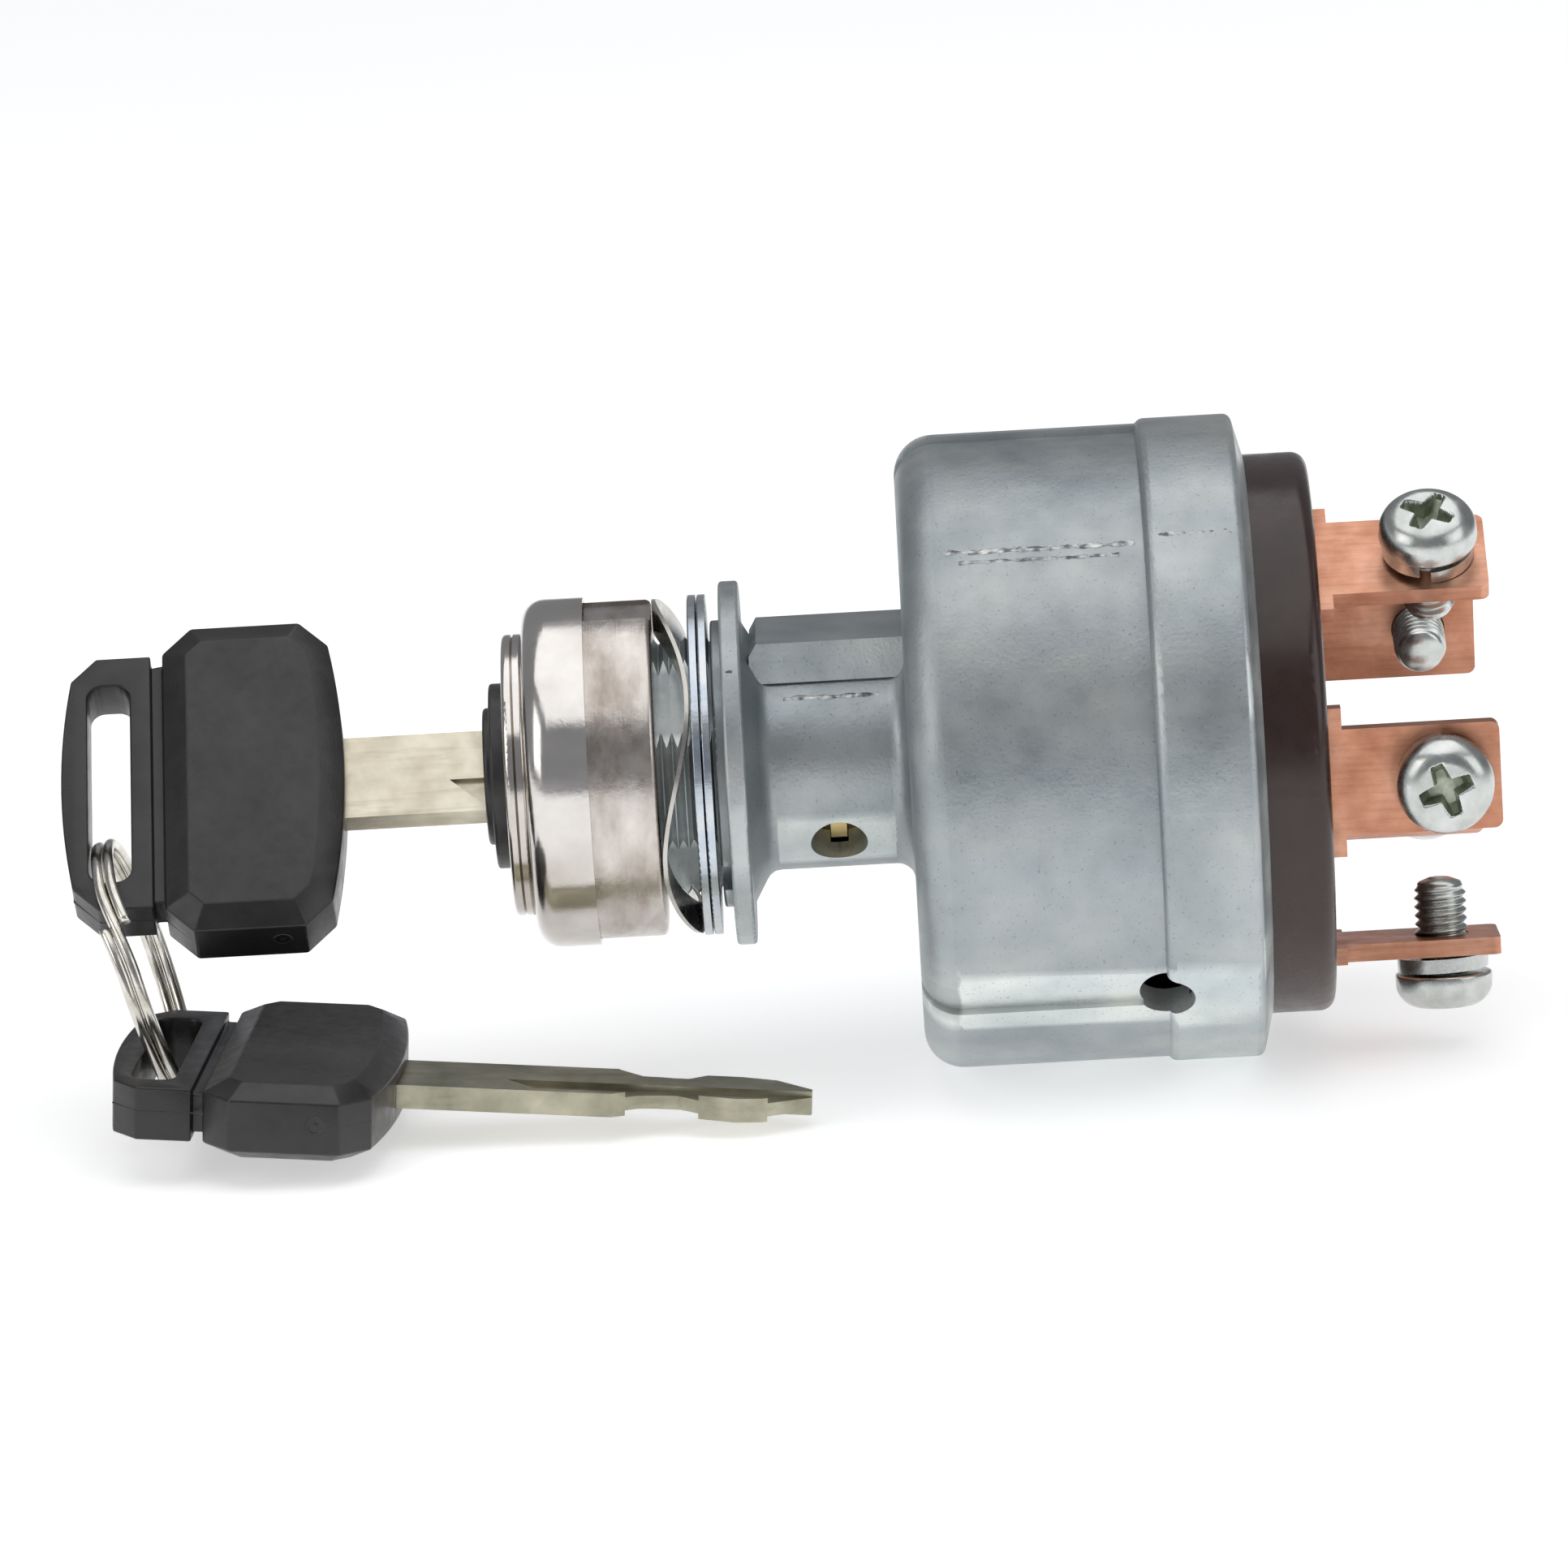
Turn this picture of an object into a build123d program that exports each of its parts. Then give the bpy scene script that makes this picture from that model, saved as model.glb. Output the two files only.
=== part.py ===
from build123d import *
import os
from math import cos, radians, sin

# Selector key switch of the kind fitted to construction machines, with its two keys on a split ring.
# Millimetres. The switch axis is Y: the key goes in from the front (-Y), the terminals stand at the
# back (+Y), and the rib on the neck is on top (+Z). The origin is the centre of the flange's front
# face, which seats behind the panel. Row angles are measured about the axis from +X towards +Z.

# ---- Fits ----
running_gap = 0.05          # radial clearance of turning and sliding fits
body_gap = 0.10             # between faces of pieces that move past each other
key_gap = 0.15              # around the key blade in its keyway

# ---- Housing: one zinc die casting, threaded neck, flange, neck, rib and can ----
thread_radius = 12.0        # M24 outside radius
thread_pitch = 1.0
thread_depth = 0.55
thread_flat_depth = 1.0     # of the four flats, from the thread's outside
thread_turns = 16
shoulder_step = 1.4         # pilot in front of the flange stands this much proud of the thread
shoulder_length = 0.95
shoulder_notch_width = 3.7
shoulder_notch_angle = -40.0
flange_radius = 17.0
flange_thickness = 1.85
flare_radius = 13.3
flare_length = 1.75
neck_radius = 10.2
neck_end = 16.95            # station of the can's front face
neck_fillet = 1.7
rib_half_width = 5.75
rib_height = 12.5           # from the axis to the rib's top
rib_start = 2.6
release_hole_diameter = 5.3
release_hole_angle = -38.0
release_hole_station = 10.05
can_radius = 29.55
can_corner = 3.7
recess_depth = 0.65         # shallow label recess round part of the can
recess_start_angle = -42.0
recess_end_angle = 95.0
can_front_wall = 2.05
can_wall = 2.55
can_length = 22.5           # from its front face to the lip
lip_step = 0.45             # the lip stands proud of the can
lip_length = 8.95
lip_corner = 1.0
lip_wall = 1.6
crimp_length = 1.0
drain_hole_diameter = 5.1
drain_hole_angle = -39.5

# ---- Lock barrel ----
barrel_radius = 7.0
barrel_rear = 14.0
plug_radius = 8.65
plug_front = -21.9
plug_step_radius = 6.4
plug_step_height = 0.7
key_face_angle = 46.0       # row angle of the key's face when the switch is off
wafer_count = 6
wafer_thickness = 0.8
wafer_spacing = 2.6
first_wafer_station = -14.5
wafer_inset = 0.7           # of a wafer's ends from the barrel's side
wafer_width = 4.8
retainer_thickness = 1.5
retainer_width = 3.2
retainer_reach = 1.2        # the retainer's tip stands in the housing's groove
fine_wire = 0.3             # wire of the smallest springs, across its eight corners
wafer_spring_radius = 0.44  # coil radii, to the wire's centre
retainer_spring_radius = 0.39
spring_half_length = 2.4    # of the bores that hold the wafer springs
spring_bore = 0.75
retainer_spring_bore = 0.7
seal_margin = 1.0           # rubber lip round the keyway
seal_depth = 0.8
tang_thickness = 2.4        # drive tongue between the barrel and its shaft
tang_depth = 2.4
key_tang_width = 7.0        # part of the blade inside its head
key_tang_length = 12.0

# ---- Keys ----
blade_width = 8.8
blade_thickness = 2.25
blade_length = 38.0
blade_step = 19.7           # full-width shank, then the cut length
head_length = 16.9
head_height = 33.6
head_thickness = 7.2
head_chamfer = 2.7
head_bulge = 1.3
head_bevel_width = 2.35
head_bevel_height = 1.2
head_neck_length = 1.1
head_neck_height = 26.0
head_neck_thickness = 3.6
loop_length = 8.5
loop_height = 27.8
loop_thickness = 5.0
loop_bulge = 1.0
slot_width = 4.0
slot_length = 21.6
slot_offset = 0.25          # the slot stands this much nearer the head than the loop's middle
key_insertion = 24.9

# ---- Panel fasteners ----
washer_radius = 15.9
washer_thickness = 0.75
washer_gap = 0.15
rear_washer_station = -2.05
washer_hole_gap = 0.3       # round the thread
wave_radius = 15.7
wave_hole_gap = 0.8
wave_thickness = 0.4
wave_height = 2.55
wave_count = 3
wave_crest_angle = 96.5
nut_radius = 15.7
nut_rear = -6.35
nut_notch_width = 7.7
nut_notch_depth = 0.78
shell_radius = 16.25
shell_rear = -12.65
shell_front = -18.5
shell_corner = 2.2
shell_wall = 0.5
plate_radius = 13.15
spigot_radius = 9.9         # the plate's end inside the shell
plate_front = -20.45

# ---- Contact chamber ----
shaft_radius = 4.0
shaft_flat_distance = 3.2
pilot_radius = 3.0
rotor_radius = 21.0
rotor_standoff = 4.0        # from the can's front wall
rotor_length = 8.0
rotor_boss_half = 6.5
rotor_boss_length = 6.0
detent_plate_thickness = 1.2
detent_radius = 15.5
detent_ball_radius = 2.0
detent_angles = (-45.0, 0.0, 45.0, 75.0)
bridge_thickness = 1.2
bridge_standoff = 2.8       # from the rotor, over its springs
bridge_hub_radius = 10.8
bridge_arm_width = 7.0
contact_radius = 14.0
pip_radius = 1.8
button_radius = 2.3
contact_spring_bore = 2.5
contact_spring_radius = 1.9
contact_spring_wire = 0.6
detent_spring_radius = 1.4
detent_spring_wire = 0.5
thrust_washer_radius = 6.5
thrust_washer_thickness = 0.8
clip_radius = 5.8
clip_thickness = 0.7
clip_groove_depth = 0.5
return_spring_radius = 7.6
return_spring_wire = 1.2
return_spring_length = 5.0
crimp_gap = 0.1             # between the crimped mouth and the base
crimp_hold = 2.1            # of the base's flange, under the crimp
base_flange_gap = 0.2       # round the base's flange
base_flange_length = 5.85
base_inner_length = 3.5     # part of the base that stands into the can
base_inner_gap = 3.0        # round that part
base_length = 6.9           # part behind the lip
base_edge = 1.4
gasket_thickness = 1.0

# ---- Terminals ----
terminal_angles = (0.0, 61.0, 166.0, 209.0, 277.0)
terminal_width = 10.0
terminal_thickness = 1.6
terminal_length = 15.7      # behind the base
terminal_inset = 5.6        # from the base's side to the blade's middle
terminal_corner = 0.8
ear_width = 14.0
ear_height = 1.3
foot_thickness = 0.8
shank_width = 6.0           # of the stretch inside the base
screw_place = 10.4          # behind the base
screw_radius = 2.5
screw_length = 5.0          # shank standing out on the inner side of the blade
screw_head_radius = 4.55
screw_head_height = 3.3
screw_head_crown = 2.0
screw_recess = 4.9
screw_recess_width = 1.0
screw_recess_depth = 1.9
washer_stack = 2.0          # lock washer between blade and head
lock_washer_radius = 4.25
lock_washer_thickness = 1.3
lock_washer_turn = 0.96     # part of a full turn, leaving the split

# ---- Split ring and spare key, as they lie ----
ring_radius = 12.3          # to the wire's centre
ring_wire = 1.1
ring_tilt = 15.2            # lean of the ring's axis from Y towards Z
ring_key_angle = 94.16      # place round the ring where its wire is in the lock key's slot
ring_spare_angle = -39.84   # place where it is in the spare key's slot
key_wire_inset = 5.3       # of the wire from the end of the lock key's slot
key_wire_offset = -0.81      # and along the key from the slot's middle
spare_wire_across = 0.15    # the same in the spare key's slot, from its middle
spare_wire_offset = 0.14
spare_yaw = 4.7             # turn of the spare key's length from Y towards X
spare_pitch = -4.5          # its fall towards the tip

lip_start = neck_end + can_length
lip_end = lip_start + lip_length
rear_end = lip_end + crimp_length
lip_radius = can_radius + lip_step
can_bore_radius = can_radius - can_wall
lip_bore_radius = lip_radius - lip_wall
base_flange_radius = lip_bore_radius - base_flange_gap
base_radius = base_flange_radius - crimp_hold
crimp_radius = base_radius + crimp_gap
base_inner_radius = can_bore_radius - base_inner_gap
base_flange_rear = lip_end - running_gap
base_flange_front = base_flange_rear - base_flange_length
base_inner_face = base_flange_front - base_inner_length
base_rear = lip_end + base_length
terminal_radius = base_radius - terminal_inset
terminal_end = base_rear + terminal_length
screw_station = base_rear + screw_place
can_front_inner = neck_end + can_front_wall
rotor_front = can_front_inner + rotor_standoff
rotor_rear = rotor_front + rotor_length
rotor_boss_end = rotor_rear + rotor_boss_length
bridge_front = rotor_rear + bridge_standoff
shoulder_radius = thread_radius + shoulder_step
thread_flat_distance = thread_radius - thread_flat_depth
washer_hole_radius = thread_radius + washer_hole_gap
wave_inner_radius = thread_radius + wave_hole_gap
retainer_tip_radius = barrel_radius + retainer_reach
plug_rear = plate_front - body_gap
key_root_station = plug_front - plug_step_height - (blade_length - key_insertion)
keyway_width = blade_width + 2 * key_gap
keyway_thickness = blade_thickness + 2 * key_gap
bore_radius = barrel_radius + running_gap
shaft_bore_radius = shaft_radius + running_gap
bearing_front = barrel_rear + 2 * body_gap
across_angle = key_face_angle - 90


def station(y):
    """The plane across the axis at y: local x is +X, local y is +Z, and its normal points forward."""
    return Plane.XZ.offset(-y)


def radial_plane(angle, y, radius):
    """A plane square to the radius at a row angle: its normal points outward, local y is +Y."""
    a = radians(angle)
    outward = Vector(cos(a), 0, sin(a))
    return Plane(
        origin=outward * radius + Vector(0, y, 0),
        x_dir=(sin(a), 0, -cos(a)),
        z_dir=outward,
    )


def polar(radius, angle):
    """A place in a station plane, from its radius and row angle."""
    return (radius * cos(radians(angle)), radius * sin(radians(angle)))


def turned(points, rounds=(), start=0.0, arc=360.0, mode=Mode.ADD):
    """Turns an outline of (radius, station) points, from a row angle towards smaller angles."""
    with BuildSketch(Plane.XY.rotated((0, -start, 0))) as outline:
        with BuildLine():
            Polyline(*points, close=True)
        make_face()
        for point, radius in rounds:
            fillet(outline.vertices().sort_by_distance(point)[0], radius)
    revolve(outline.sketch, axis=Axis.Y, revolution_arc=arc, mode=mode)


def collar(outer, inner, front, rear, mode=Mode.ADD):
    """A plain ring or, with no inner radius, a disc between two stations."""
    turned([(inner, front), (outer, front), (outer, rear), (inner, rear)], mode=mode)


def thread_outline(radius, depth, pitch, turns, first):
    """The zigzag of a thread's section, from its first crest, as (radius, place) points."""
    points = []
    for turn in range(turns):
        crest = first + turn * pitch
        points.append((radius, crest))
        points.append((radius - depth, crest + 0.44 * pitch))
        points.append((radius - depth, crest + 0.56 * pitch))
    return points


def coil_spring(plane, radius, wire, length, turns, eight_sided=False):
    """A coil of round or eight-sided wire standing on a plane, its wire inside the length."""
    with BuildLine() as coil:
        Helix(
            pitch=(length - wire) / turns,
            height=length - wire,
            radius=radius,
            center=plane.origin + plane.z_dir * (wire / 2),
            direction=plane.z_dir,
        )
    with BuildSketch(Plane(origin=coil.line @ 0, z_dir=coil.line % 0)) as section:
        if eight_sided:
            RegularPolygon(wire / 2, 8)
        else:
            Circle(wire / 2)
    sweep(section.sketch, path=coil.line, is_frenet=True)


def write(part, name):
    """Labels a finished piece and writes its file."""
    part.label = name
    export_step(part, f"parts/{name}.step")


os.makedirs("parts", exist_ok=True)

# ================= Housing: the zinc casting =================
thread_end = -shoulder_length - 0.4
thread_start = thread_end - thread_turns * thread_pitch
neck_front = thread_start - 0.5
core_radius = thread_radius - thread_depth
recess_radius = can_radius - recess_depth
chamber_step = base_flange_front - gasket_thickness

with BuildPart() as housing:
    turned(
        [
            (0, neck_front),
            (core_radius, neck_front),
            *thread_outline(
                thread_radius, thread_depth, thread_pitch, thread_turns, thread_start
            ),
            (thread_radius, thread_end),
            (core_radius, thread_end + 0.2),
            (core_radius, -shoulder_length),
            (shoulder_radius, -shoulder_length),
            (shoulder_radius, 0),
            (flange_radius, 0),
            (flange_radius, flange_thickness),
            (flare_radius, flange_thickness),
            (neck_radius, flange_thickness + flare_length),
            (neck_radius, neck_end),
            (recess_radius, neck_end),
            (recess_radius, lip_start),
            (lip_radius, lip_start),
            (lip_radius, lip_end),
            (crimp_radius, rear_end),
            (0, rear_end),
        ],
        rounds=[
            ((shoulder_radius, -shoulder_length), 0.25),
            ((flange_radius, 0), 0.35),
            ((flange_radius, flange_thickness), 0.35),
            ((flare_radius, flange_thickness), 0.3),
            ((neck_radius, flange_thickness + flare_length), 1.5),
            ((neck_radius, neck_end), neck_fillet),
            ((recess_radius, neck_end), can_corner),
            ((lip_radius, lip_start), lip_corner),
            ((lip_radius, lip_end), 0.8),
        ],
    )
    # outside the label recess the can stands proud
    turned(
        [
            (neck_radius + neck_fillet, neck_end),
            (can_radius, neck_end),
            (can_radius, lip_start + lip_corner),
            (neck_radius + neck_fillet, lip_start + lip_corner),
        ],
        rounds=[((can_radius, neck_end), can_corner)],
        start=recess_start_angle,
        arc=360 - (recess_end_angle - recess_start_angle),
    )
    # rib along the top of the neck, its front end bevelled
    with BuildSketch(Plane.YZ) as rib:
        with BuildLine():
            Polyline(
                (rib_start, neck_radius - 1.5),
                (rib_start, rib_height - 1.2),
                (rib_start + 0.7, rib_height),
                (neck_end + 1, rib_height),
                (neck_end + 1, neck_radius - 1.5),
                close=True,
            )
        make_face()
    extrude(rib.sketch, amount=rib_half_width, both=True)
    # bore for the lock barrel, its retaining groove, and the bearing of the drive shaft
    collar(bore_radius, 0, neck_front, bearing_front, Mode.SUBTRACT)
    retainer_front = release_hole_station - retainer_thickness / 2
    retainer_rear = release_hole_station + retainer_thickness / 2
    collar(
        retainer_tip_radius + 0.2,
        0,
        retainer_front - body_gap,
        retainer_rear + body_gap,
        Mode.SUBTRACT,
    )
    collar(shaft_bore_radius, 0, bearing_front, can_front_inner, Mode.SUBTRACT)
    # contact chamber, seat of the terminal base, and the mouth of the crimped edge
    turned(
        [
            (0, can_front_inner),
            (can_bore_radius, can_front_inner),
            (can_bore_radius, chamber_step),
            (lip_bore_radius, chamber_step),
            (lip_bore_radius, lip_end),
            (crimp_radius, lip_end),
            (crimp_radius, rear_end),
            (0, rear_end),
        ],
        rounds=[((can_bore_radius, can_front_inner), 1.5)],
        mode=Mode.SUBTRACT,
    )
    # four flats across the threaded neck
    with BuildSketch(station(-shoulder_length)) as flats:
        Circle(thread_radius + 1)
        Rectangle(
            2 * thread_flat_distance,
            2 * thread_flat_distance,
            rotation=45,
            mode=Mode.SUBTRACT,
        )
    extrude(flats.sketch, amount=-neck_front - shoulder_length, mode=Mode.SUBTRACT)
    # key notch in the pilot shoulder
    with BuildSketch(
        radial_plane(shoulder_notch_angle, -shoulder_length / 2, thread_radius)
    ) as notch:
        Rectangle(shoulder_notch_width, shoulder_length)
    extrude(notch.sketch, amount=shoulder_radius - thread_radius + 1, mode=Mode.SUBTRACT)
    # hole that lets a pin press the retainer in, and the chamber's drain
    with BuildSketch(radial_plane(release_hole_angle, release_hole_station, 0)) as release:
        Circle(release_hole_diameter / 2)
    extrude(release.sketch, amount=neck_radius + 1, mode=Mode.SUBTRACT)
    with BuildSketch(radial_plane(drain_hole_angle, lip_start, can_bore_radius - 2)) as drain:
        Circle(drain_hole_diameter / 2)
    extrude(drain.sketch, amount=lip_radius - can_bore_radius + 3, mode=Mode.SUBTRACT)
write(housing.part, "housing")

# ================= Lock barrel and what it carries =================
wafer_length = 2 * (barrel_radius - wafer_inset)
wafer_stations = [first_wafer_station + n * wafer_spacing for n in range(wafer_count)]
wafer_slot = wafer_thickness + 2 * running_gap
spring_place = wafer_width / 2 + 1.2     # wafer springs stand beside the wafers
ear_length = 0.8
ear_place = spring_half_length + ear_length / 2 + running_gap
ear_reach = spring_place + 0.5


def across_plane(y, across, normal):
    """A plane square to the key's width, at places along its width and its face's normal."""
    a = radians(key_face_angle)
    width = Vector(sin(a), 0, -cos(a))
    face = Vector(cos(a), 0, sin(a))
    return Plane(origin=width * across + face * normal + Vector(0, y, 0), z_dir=width)


with BuildPart() as lock_barrel:
    collar(barrel_radius, 0, plug_rear, barrel_rear)
    keyway_end = key_root_station + blade_length + 0.6
    with BuildSketch(station(plug_rear)) as keyway:
        Rectangle(keyway_width, keyway_thickness, rotation=across_angle)
    extrude(keyway.sketch, amount=plug_rear - keyway_end, mode=Mode.SUBTRACT)
    for y in wafer_stations:
        with BuildSketch(station(y - wafer_slot / 2)) as slot:
            Rectangle(
                2 * barrel_radius + 1,
                wafer_width + 2 * running_gap,
                rotation=across_angle,
            )
            with Locations(Rotation(0, 0, across_angle)):
                with Locations((ear_place, ear_reach / 2)):
                    Rectangle(ear_length + 2 * running_gap, ear_reach + 2 * running_gap)
        extrude(slot.sketch, amount=-wafer_slot, mode=Mode.SUBTRACT)
        with BuildSketch(across_plane(y, -spring_half_length, spring_place)) as pocket:
            Circle(spring_bore)
        extrude(pocket.sketch, amount=2 * spring_half_length, mode=Mode.SUBTRACT)
    # pocket of the retainer and of its spring, and the slot that drives the shaft
    pocket_floor = barrel_radius - 2.6
    with BuildSketch(
        radial_plane(release_hole_angle, release_hole_station, pocket_floor)
    ) as retainer_pocket:
        Rectangle(
            retainer_width + 2 * running_gap, retainer_thickness + 2 * running_gap
        )
    extrude(retainer_pocket.sketch, amount=barrel_radius, mode=Mode.SUBTRACT)
    with BuildSketch(
        radial_plane(release_hole_angle, release_hole_station, 0.4)
    ) as retainer_bore:
        Circle(retainer_spring_bore)
    extrude(retainer_bore.sketch, amount=pocket_floor, mode=Mode.SUBTRACT)
    tang_front = barrel_rear - tang_depth
    with BuildSketch(station(tang_front)) as drive_slot:
        Rectangle(2 * barrel_radius + 1, tang_thickness + 2 * running_gap)
    extrude(drive_slot.sketch, amount=-(barrel_rear - tang_front), mode=Mode.SUBTRACT)
write(lock_barrel.part, "lock_barrel")

with BuildPart() as plug_face:
    turned(
        [
            (0, plug_front - plug_step_height),
            (plug_step_radius, plug_front - plug_step_height),
            (plug_step_radius, plug_front),
            (plug_radius, plug_front),
            (plug_radius, plug_rear),
            (0, plug_rear),
        ],
        rounds=[
            ((plug_step_radius, plug_front - plug_step_height), 0.35),
            ((plug_radius, plug_front), 0.3),
        ],
    )
    seal_width = keyway_width + 2 * seal_margin
    seal_height = keyway_thickness + 2 * seal_margin
    with BuildSketch(station(plug_front - plug_step_height)) as seal_seat:
        Rectangle(seal_width, seal_height, rotation=across_angle)
    extrude(seal_seat.sketch, amount=-seal_depth, mode=Mode.SUBTRACT)
    with BuildSketch(station(plug_front - plug_step_height)) as plug_keyway:
        Rectangle(keyway_width, keyway_thickness, rotation=across_angle)
    extrude(plug_keyway.sketch, amount=-3, mode=Mode.SUBTRACT)
write(plug_face.part, "plug_face")

with BuildPart() as keyway_seal:
    with BuildSketch(station(plug_front - plug_step_height)) as seal:
        Rectangle(seal_width, seal_height, rotation=across_angle)
        Rectangle(
            keyway_width, keyway_thickness, rotation=across_angle, mode=Mode.SUBTRACT
        )
    extrude(seal.sketch, amount=-seal_depth)
write(keyway_seal.part, "keyway_seal")

with BuildPart() as tumbler_wafers:
    for y in wafer_stations:
        with BuildSketch(station(y - wafer_thickness / 2)) as wafer:
            Rectangle(wafer_length, wafer_width, rotation=across_angle)
            with Locations(Rotation(0, 0, across_angle)):
                with Locations((ear_place, ear_reach / 2)):
                    Rectangle(ear_length, ear_reach)
            Rectangle(
                keyway_width,
                keyway_thickness,
                rotation=across_angle,
                mode=Mode.SUBTRACT,
            )
        extrude(wafer.sketch, amount=-wafer_thickness)
write(tumbler_wafers.part, "tumbler_wafers")

with BuildPart() as wafer_springs:
    for y in wafer_stations:
        coil_spring(
            across_plane(y, -spring_half_length + 0.02, spring_place),
            wafer_spring_radius,
            fine_wire,
            2 * spring_half_length - 0.1,
            5,
            eight_sided=True,
        )
write(wafer_springs.part, "wafer_springs")

with BuildPart() as retainer:
    with BuildSketch(
        radial_plane(release_hole_angle, release_hole_station, pocket_floor + 0.7)
    ) as retainer_section:
        Rectangle(retainer_width, retainer_thickness)
    extrude(
        retainer_section.sketch, amount=retainer_tip_radius - pocket_floor - 0.7
    )
write(retainer.part, "retainer")

with BuildPart() as retainer_spring:
    coil_spring(
        radial_plane(release_hole_angle, release_hole_station, 0.5),
        retainer_spring_radius,
        fine_wire,
        pocket_floor + 0.1,
        6,
        eight_sided=True,
    )
write(retainer_spring.part, "retainer_spring")

# ================= Keys =================
slot_middle = -head_length - head_neck_length - loop_length / 2 + slot_offset


def key_plane(origin, face_angle):
    """Mid-plane of a key that lies along +Y: local x across the key, local y towards its tip."""
    a = radians(face_angle)
    return Plane(origin=origin, x_dir=(sin(a), 0, -cos(a)), z_dir=(cos(a), 0, sin(a)))


def key_blade(plane):
    """Shank, cut length and point of one key, and the tang that its head is moulded over."""
    edge = blade_width / 2
    cut = blade_step
    with BuildPart() as blade:
        with BuildSketch(plane) as outline:
            with BuildLine():
                Polyline(
                    (-edge, -0.8),
                    (-edge, cut),
                    (-edge + 0.2, cut + 0.05),
                    (-edge + 2.2, cut + 2.4),
                    (-edge + 2.3, cut + 4.3),
                    (-edge + 2.45, cut + 5.2),
                    (-edge + 2.45, cut + 6.7),
                    (-edge + 1.0, cut + 8.3),
                    (-edge + 1.05, cut + 11.6),
                    (-edge + 1.7, cut + 14.8),
                    (0.0, blade_length),
                    (1.0, blade_length),
                    (edge - 0.5, cut + 14.0),
                    (edge, cut + 11.6),
                    (edge - 0.65, cut + 8.3),
                    (edge - 2.0, cut + 6.0),
                    (edge - 1.9, cut + 4.4),
                    (edge - 1.55, cut + 2.4),
                    (edge - 0.1, cut + 0.2),
                    (edge, cut),
                    (edge, -0.8),
                    close=True,
                )
            make_face()
            with Locations((0, -key_tang_length / 2)):
                Rectangle(key_tang_width, key_tang_length)
        extrude(outline.sketch, amount=blade_thickness / 2, both=True)
        for side in (1, -1):
            with BuildSketch(plane.offset(side * (blade_thickness / 2 - 0.5))) as groove:
                with BuildLine():
                    Polyline(
                        (0.8, cut - 10.0),
                        (0.8, blade_length + 1),
                        (edge - 0.8, blade_length + 1),
                        (edge - 0.8, cut - 7.0),
                        close=True,
                    )
                make_face()
            extrude(groove.sketch, amount=side * 1.0, mode=Mode.SUBTRACT)
    return blade.part


def key_head(plane):
    """Moulded head: bevelled grip, thin neck groove, and the loop with its slot."""
    side = head_height / 2
    loop_side = loop_height / 2
    loop_front = -head_length - head_neck_length
    loop_end = loop_front - loop_length
    with BuildPart() as head:
        with BuildSketch(plane) as grip:
            with BuildLine():
                ThreePointArc(
                    (side - head_chamfer, -head_bulge),
                    (0, 0),
                    (-side + head_chamfer, -head_bulge),
                )
                Polyline(
                    (-side + head_chamfer, -head_bulge),
                    (-side, -head_bulge - head_chamfer),
                    (-side, -head_length + head_chamfer),
                    (-side + head_chamfer, -head_length),
                    (side - head_chamfer, -head_length),
                    (side, -head_length + head_chamfer),
                    (side, -head_bulge - head_chamfer),
                    (side - head_chamfer, -head_bulge),
                )
            make_face()
        extrude(grip.sketch, amount=head_thickness / 2, both=True)
        for turned_over in (1, -1):
            face = head.faces().sort_by(Axis(plane.origin, plane.z_dir * turned_over))[-1]
            chamfer(
                face.edges(), head_bevel_width, head_bevel_height, reference=face
            )
        with BuildSketch(plane) as throat:
            with Locations((0, loop_front - 0.5)):
                Rectangle(
                    head_neck_height,
                    2 * head_neck_length + 2,
                )
        extrude(throat.sketch, amount=head_neck_thickness / 2, both=True)
        with BuildSketch(plane) as loop:
            with BuildLine():
                Polyline(
                    (loop_side - 2.4, loop_end + loop_bulge),
                    (loop_side, loop_end + loop_bulge + 2.4),
                    (loop_side, loop_front),
                    (-loop_side, loop_front),
                    (-loop_side, loop_end + loop_bulge + 2.4),
                    (-loop_side + 2.4, loop_end + loop_bulge),
                )
                ThreePointArc(
                    (-loop_side + 2.4, loop_end + loop_bulge),
                    (0, loop_end),
                    (loop_side - 2.4, loop_end + loop_bulge),
                )
            make_face()
        extrude(loop.sketch, amount=loop_thickness / 2, both=True)
        with BuildSketch(plane) as slot:
            with Locations((0, slot_middle)):
                RectangleRounded(slot_length, slot_width, 1.4)
        extrude(slot.sketch, amount=head_thickness, both=True, mode=Mode.SUBTRACT)
        # the blade's tang and root, which the head is moulded over
        with BuildSketch(plane) as tang:
            with Locations((0, -key_tang_length / 2)):
                Rectangle(key_tang_width, key_tang_length)
            with Locations((0, -0.4)):
                Rectangle(blade_width, 0.8)
        extrude(tang.sketch, amount=blade_thickness / 2, both=True, mode=Mode.SUBTRACT)
    return head.part


ignition_plane = key_plane((0, key_root_station, 0), key_face_angle)
write(key_blade(ignition_plane), "key_blade")
write(key_head(ignition_plane), "key_head")

# the ring hangs from the lock key's slot, and the spare key hangs from the ring
tilt = radians(ring_tilt)
ring_axis = Vector(0, cos(tilt), sin(tilt))
ring_rise = Vector(0, -sin(tilt), cos(tilt))


def ring_arm(angle):
    """From the ring's centre to its wire at a place round it."""
    a = radians(angle)
    return (Vector(cos(a), 0, 0) + ring_rise * sin(a)) * ring_radius


key_wire = (
    ignition_plane.origin
    + ignition_plane.x_dir * (slot_length / 2 - key_wire_inset)
    + ignition_plane.y_dir * (slot_middle + key_wire_offset)
)
ring_centre = key_wire - ring_arm(ring_key_angle)

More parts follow.
